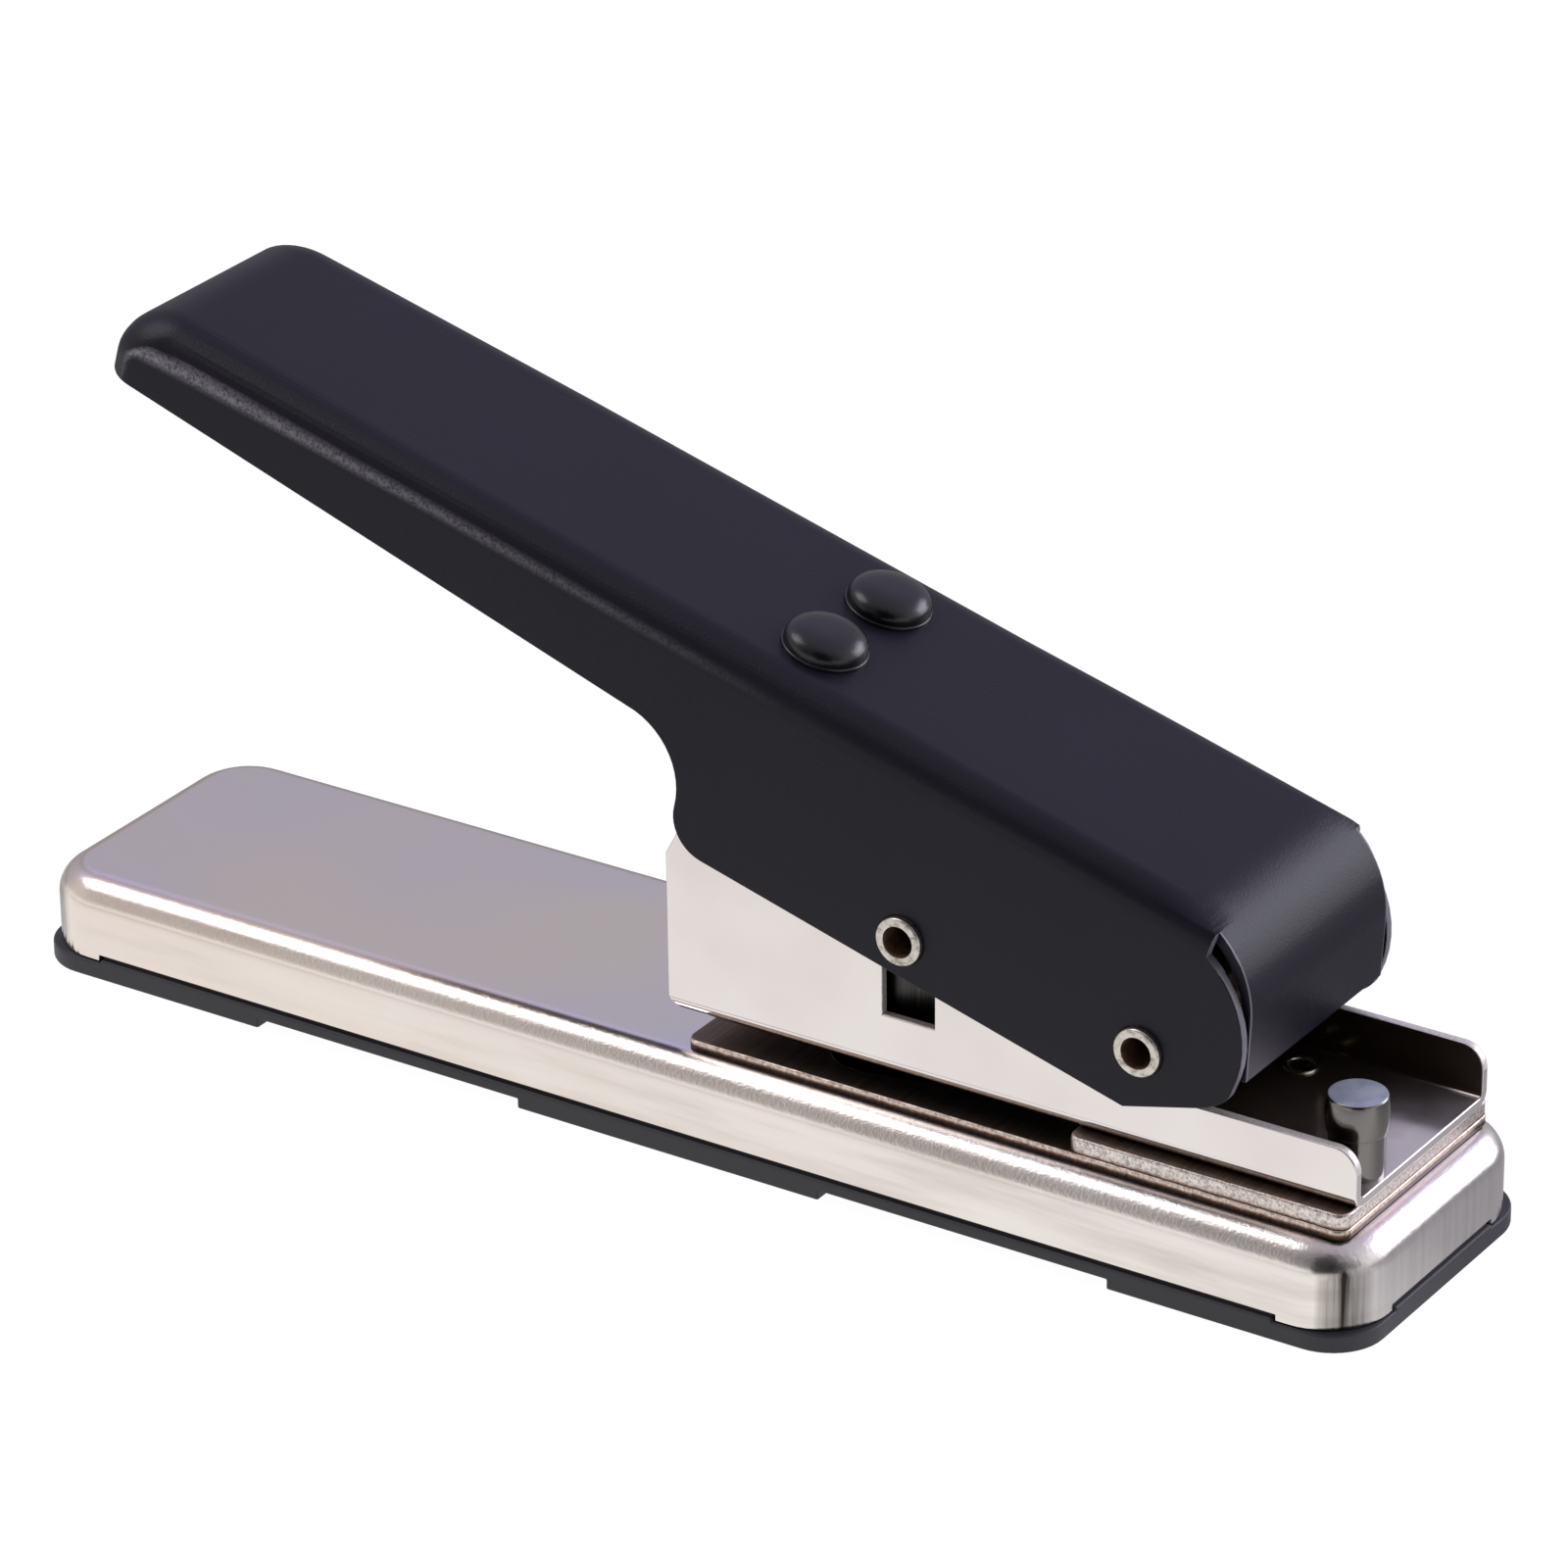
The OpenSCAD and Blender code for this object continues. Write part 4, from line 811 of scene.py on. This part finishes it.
# %% [markdown]
# ## The top rivets
# Two domed rivets hold the leaf spring under the lever. Each has a thin flange that lies on the coat,
# steep sides and a flattened crown, and it is smoother and glossier than the lever. The dome's profile is
# a quarter ellipse whose sines and cosines are raised to a power below one, which makes its sides fuller.

# %% Top rivets
LEAF_SHEET = 0.7
RIVET_BACK, RIVET_SIDE = 53.6, 6.5
FLANGE_RADIUS, FLANGE_HEIGHT = 5.05, 0.4
DOME_RADIUS, DOME_HEIGHT, DOME_FULLNESS, DOME_STEPS = 4.85, 2.3, 0.75, 14
SHANK_RADIUS, HEAD_RADIUS, HEAD_HEIGHT = 1.8, 3.0, 0.9
FLANGE_RIM, HEAD_RIM = 0.2, 0.3


def gloss_black():
    """Baked black enamel on a rivet: smoother than the lever's coat, with small clear highlights."""
    material, tree, mm = begin("baked_black_enamel", IOR=1.5)
    cloud = add(tree, "TexNoise", {"Vector": mm, "Scale": 1 / 2.5, "Detail": 3.0})
    tone = add(tree, "ValToRGB", {"Fac": cloud.outputs["Fac"]}, stops=[(0.3, "#0a090d"), (0.7, "#0f0e13")])
    gloss = add(tree, "MapRange", {"Value": cloud.outputs["Fac"], "To Min": 0.22, "To Max": 0.3})
    grain = add(tree, "TexNoise", {"Vector": mm, "Scale": 1 / 0.3, "Detail": 2.0})
    bump = add(tree, "Bump", {"Height": grain.outputs["Fac"], "Strength": 0.5, "Distance": 0.03 * MM})
    return dress(material, tone, gloss, bump)


def dome_points(radius, height, foot):
    """Full quarter ellipse from the dome's foot to its crown."""
    turns = [math.radians(90) * i / DOME_STEPS for i in range(DOME_STEPS)]
    side = [(radius * math.cos(t) ** DOME_FULLNESS, foot + height * math.sin(t) ** DOME_FULLNESS)
            for t in turns]
    return side + [(0, foot + height)]


head_top = LEVER_TOP - LEVER_SHEET - LEAF_SHEET
flange_top = LEVER_TOP + FLANGE_HEIGHT
rivet_profile = [
    (0, head_top - HEAD_HEIGHT), (HEAD_RADIUS, head_top - HEAD_HEIGHT), (HEAD_RADIUS, head_top),
    (SHANK_RADIUS, head_top), (SHANK_RADIUS, LEVER_TOP), (FLANGE_RADIUS, LEVER_TOP),
    (FLANGE_RADIUS, flange_top), *dome_points(DOME_RADIUS, DOME_HEIGHT, flange_top)]
rivets = bmesh.new()
for side in (-1, 1):
    rivet = spun(rivet_profile)
    ease_rim(rivet, FLANGE_RADIUS, flange_top, FLANGE_RIM)
    ease_rim(rivet, HEAD_RADIUS, head_top - HEAD_HEIGHT, HEAD_RIM)
    gather(rivets, rivet, ON_LEVER @ Matrix.Translation(Vector((-RIVET_BACK, side * RIVET_SIDE, 0)) * MM))
show(rivets, "top_rivets", gloss_black())

# %% [markdown]
# ## The two tubular pins
# The lever's pivot and the pin that drives the punch are nickel-plated tubes. Their ends are turned over
# a little, so the ring that shows has soft edges, and the bore is brown with old oil. The bore's faces
# get a finish of their own.

# %% Pins
PIN_RADIUS, PIN_BORE_RADIUS, PIN_INSIDE = 2.9, 1.85, 13.5
PIN_RIM, PIN_BORE_RIM, BORE_SLACK = 0.32, 0.16, 0.03
DRIVE_BACK, DRIVE_DROP = 30.7, 3.13


def pin_nickel():
    """Nickel-plated tube, worn where the lever rubs it: warm grey with small scuffs."""
    material, tree, mm = begin("worn_nickel_tube", Metallic=1.0)
    wear = add(tree, "TexNoise", {"Vector": mm, "Scale": 1 / 0.7, "Detail": 4.0, "Roughness": 0.65})
    tone = add(tree, "ValToRGB", {"Fac": wear.outputs["Fac"]}, stops=[(0.36, "#a39c92"), (0.5, "#d6d1c8"),
                                                                    (0.75, "#e2ded6")])
    gloss = add(tree, "MapRange", {"Value": wear.outputs["Fac"], "To Min": 0.42, "To Max": 0.26})
    bump = add(tree, "Bump", {"Height": wear.outputs["Fac"], "Strength": 0.3, "Distance": 0.03 * MM})
    return dress(material, tone, gloss, bump)


def oiled_bore():
    """Bare steel inside a tube and under the lever, brown with a crust of old oil."""
    material, tree, mm = begin("oiled_brown_bore", Roughness=0.5)
    patches = add(tree, "TexNoise", {"Vector": mm, "Scale": 1 / 1.2, "Detail": 3.0})
    tone = add(tree, "ValToRGB", {"Fac": patches.outputs["Fac"]}, stops=[(0.3, "#4a3525"), (0.7, "#7d6146")])
    return dress(material, tone)


def tube_pin(node, place):
    """A tube across the lever, as long as the CAD pin, with turned-over ends."""
    low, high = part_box(node)
    half = (high.y - low.y) / 2 / MM
    tube = spun([(PIN_BORE_RADIUS, -half), (PIN_RADIUS, -half), (PIN_RADIUS, -PIN_INSIDE),
                 (PIN_RADIUS, PIN_INSIDE), (PIN_RADIUS, half), (PIN_BORE_RADIUS, half)], closed=True)
    for end in (-half, half):
        ease_rim(tube, PIN_RADIUS, end, PIN_RIM)
        ease_rim(tube, PIN_BORE_RADIUS, end, PIN_BORE_RIM)
    for face in tube.faces:
        middle = face.calc_center_median() / MM
        in_bore = middle.xy.length < PIN_BORE_RADIUS + BORE_SLACK
        face.material_index = 1 if in_bore or abs(middle.z) < PIN_INSIDE else 0
    pin = bmesh.new()
    gather(pin, tube, ON_LEVER @ Matrix.Translation(Vector(place) * MM) @ ACROSS)
    return show(pin, node, WORN_NICKEL, OILED_BORE)


WORN_NICKEL, OILED_BORE = pin_nickel(), oiled_bore()
tube_pin("pivot_pin", (0, 0, 0))
tube_pin("drive_pin", (-DRIVE_BACK, 0, -DRIVE_DROP))

# %% [markdown]
# ## The front post and the eyelets
# The post is turned from bar, zinc plated, and riveted through the whole stack. Zinc is bluer than
# nickel, with a yellow breath of passivation. The eyelets are drawn tubes whose rims are rolled over on
# the channel's floor.

# %% Finishes of the post and the eyelets
def zinc_plate(axis):
    """Zinc, thinly passivated: bluish grey, a little yellow, with turning rings round its axis; the barrel is
    painted darker as shade.
    """
    material, tree, mm = begin("passivated_zinc_plate", Metallic=1.0)
    cloud = add(tree, "TexNoise", {"Vector": mm, "Scale": 1 / 2.2, "Detail": 3.0})
    tone = add(tree, "ValToRGB", {"Fac": cloud.outputs["Fac"]}, stops=[(0.3, "#a2a8b2"), (0.55, "#bac0c9"),
                                                                     (0.75, "#c4c2b6")])
    off_axis = add(tree, "VectorMath", {0: mm, 1: axis}, operation="SUBTRACT")
    level_off = add(tree, "VectorMath", {0: off_axis.outputs[0], 1: (1, 1, 0)}, operation="MULTIPLY")
    radius = add(tree, "VectorMath", {0: level_off.outputs[0]}, operation="LENGTH")
    rings = add(tree, "TexNoise", {"W": radius.outputs["Value"], "Scale": 1 / 0.3, "Detail": 2.0},
                noise_dimensions="1D")
    bump = add(tree, "Bump", {"Height": rings.outputs["Fac"], "Strength": 0.5, "Distance": 0.03 * MM})
    # The end face is faced with a coarse tool and stays duller than the barrel
    tilt = add(tree, "SeparateXYZ", {"Vector": add(tree, "NewGeometry").outputs["Normal"]})
    facing_up = add(tree, "MapRange", {"Value": tilt.outputs["Z"], "From Min": 0.7, "From Max": 1.0})
    gloss = add(tree, "MapRange", {"Value": facing_up.outputs[0], "To Min": 0.2, "To Max": 0.5})
    # Painted shade: the barrel is painted a darker grey than the lit top face
    colour = add(tree, "MixRGB", {"Fac": facing_up.outputs[0], "Color1": srgb("#7d7a76"),
                                  "Color2": tone.outputs["Color"]})
    return dress(material, colour, gloss, bump)


def rolled_eyelet():
    """Plated eyelet: a bright, faintly yellow rim with the marks of the rolling tool."""
    material, tree, mm = begin("plated_eyelet_steel", Metallic=1.0)
    marks = add(tree, "TexNoise", {"Vector": mm, "Scale": 1 / 0.8, "Detail": 3.0})
    tone = add(tree, "ValToRGB", {"Fac": marks.outputs["Fac"]}, stops=[(0.3, "#b5ad96"), (0.7, "#dcd6c4")])
    gloss = add(tree, "MapRange", {"Value": marks.outputs["Fac"], "To Min": 0.18, "To Max": 0.34})
    return dress(material, tone, gloss)


EYELET_PLATE = rolled_eyelet()
print("finish of the eyelets:", EYELET_PLATE.name)

# %% Front post
POST_BARREL, POST_SHANK, POST_HEIGHT, POST_RING = 3.6, 3.15, 9.5, 5.0
POST_RIM, RING_RIM, BARREL_STEPS = 0.25, 0.15, 8
STEM_RADIUS, RIM_RADIUS, RIM_HEIGHT = 1.8, 2.1, 0.35
FLOOR_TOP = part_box("front_post")[1].z / MM - POST_HEIGHT
HEAD_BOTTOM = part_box("front_post")[0].z / MM


def centre_of(node):
    """Middle of a node's box, seen from above, in metres."""
    low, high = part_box(node)
    return Vector(((low.x + high.x) / 2, (low.y + high.y) / 2, 0))


ring, top = FLOOR_TOP + POST_RING, FLOOR_TOP + POST_HEIGHT
lip = (POST_BARREL + POST_SHANK) / 2
barrel = [i / BARREL_STEPS for i in range(BARREL_STEPS + 1)]
post = spun([
    (0, HEAD_BOTTOM), (RIM_RADIUS, HEAD_BOTTOM), (RIM_RADIUS, HEAD_BOTTOM + RIM_HEIGHT),
    (STEM_RADIUS, HEAD_BOTTOM + RIM_HEIGHT), (STEM_RADIUS, FLOOR_TOP), (POST_SHANK, FLOOR_TOP),
    (POST_SHANK, ring),
    *[(lip + 4 * (POST_BARREL - lip) * t * (1 - t), ring + (top - ring) * t) for t in barrel], (0, top)])
ease_rim(post, lip, top, POST_RIM)
ease_rim(post, lip, ring, RING_RIM)
pillar = bmesh.new()
gather(pillar, post, Matrix.Translation(centre_of("front_post")))
show(pillar, "front_post", zinc_plate(centre_of("front_post") / MM))

# %% Eyelets
EYELET_BORE_RADIUS, EYELET_RIM, EYELET_BORE_RIM = 1.5, 0.28, 0.25

eyelets = bmesh.new()
low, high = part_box("stack_eyelets")
for y in (low.y + RIM_RADIUS * MM, high.y - RIM_RADIUS * MM):
    eyelet = spun([
        (EYELET_BORE_RADIUS, HEAD_BOTTOM), (RIM_RADIUS, HEAD_BOTTOM), (RIM_RADIUS, HEAD_BOTTOM + RIM_HEIGHT),
        (STEM_RADIUS, HEAD_BOTTOM + RIM_HEIGHT), (STEM_RADIUS, FLOOR_TOP), (RIM_RADIUS, FLOOR_TOP),
        (RIM_RADIUS, FLOOR_TOP + RIM_HEIGHT), (EYELET_BORE_RADIUS, FLOOR_TOP + RIM_HEIGHT)], closed=True)
    ease_rim(eyelet, RIM_RADIUS, FLOOR_TOP + RIM_HEIGHT, EYELET_RIM)
    ease_rim(eyelet, EYELET_BORE_RADIUS, FLOOR_TOP + RIM_HEIGHT, EYELET_BORE_RIM)
    gather(eyelets, eyelet, Matrix.Translation(Vector(((low.x + high.x) / 2, y, 0))))
show(eyelets, "stack_eyelets", EYELET_PLATE)

# %% [markdown]
# ## The leaf spring and the punch
# Both sit inside. The leaf is blued spring steel that lifts the lever again after each cut. The real leaf
# flattens towards its rivets when the lever goes down, but this one keeps its resting shape. The punch is
# ground tool steel with a film of oil, and shows only through the channel's window.


def blued_steel():
    """Spring steel, blued in the oven: dark blue grey with straw-brown clouds."""
    material, tree, mm = begin("blued_spring_steel", Metallic=1.0, Roughness=0.32)
    cloud = add(tree, "TexNoise", {"Vector": mm, "Scale": 1 / 5.0, "Detail": 3.0})
    tone = add(tree, "ValToRGB", {"Fac": cloud.outputs["Fac"]}, stops=[(0.3, "#3c4256"), (0.6, "#565a68"),
                                                                     (0.8, "#6a5f58")])
    return dress(material, tone)


def tool_steel():
    """Ground tool steel under oil, painted dark grey as the shade it sits in, with upright grinding lines."""
    material, tree, mm = begin("ground_tool_steel", Metallic=1.0)
    lines = add(tree, "Mapping", {"Vector": mm, "Scale": (1 / 0.3, 1 / 0.3, 1 / 20.0)})
    grind = add(tree, "TexNoise", {"Vector": lines.outputs["Vector"], "Scale": 1.0, "Detail": 3.0})
    tone = add(tree, "ValToRGB", {"Fac": grind.outputs["Fac"]}, stops=[(0.3, "#3f3d3c"), (0.7, "#5a5856")])
    gloss = add(tree, "MapRange", {"Value": grind.outputs["Fac"], "To Min": 0.25, "To Max": 0.42})
    return dress(material, tone, gloss)


leaf = show(ease(merged_copy("leaf_spring"), EASED["leaf_spring"]), "leaf_spring", blued_steel())
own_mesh(leaf)
show(ease(merged_copy("punch"), EASED["punch"]), "punch", tool_steel())

# %% [markdown]
# ## Sizes
# The box of the CAD model and the box of the dressed model are printed side by side, to show how much the
# looks change what the part measures. The looks may not change what the part measures.

# %% Sizes
visual_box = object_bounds()
for name, (low, high) in (("CAD model", CAD_BOX), ("dressed model", visual_box)):
    print(name, [round((b - a) / MM, 2) for a, b in zip(low, high)], "mm")
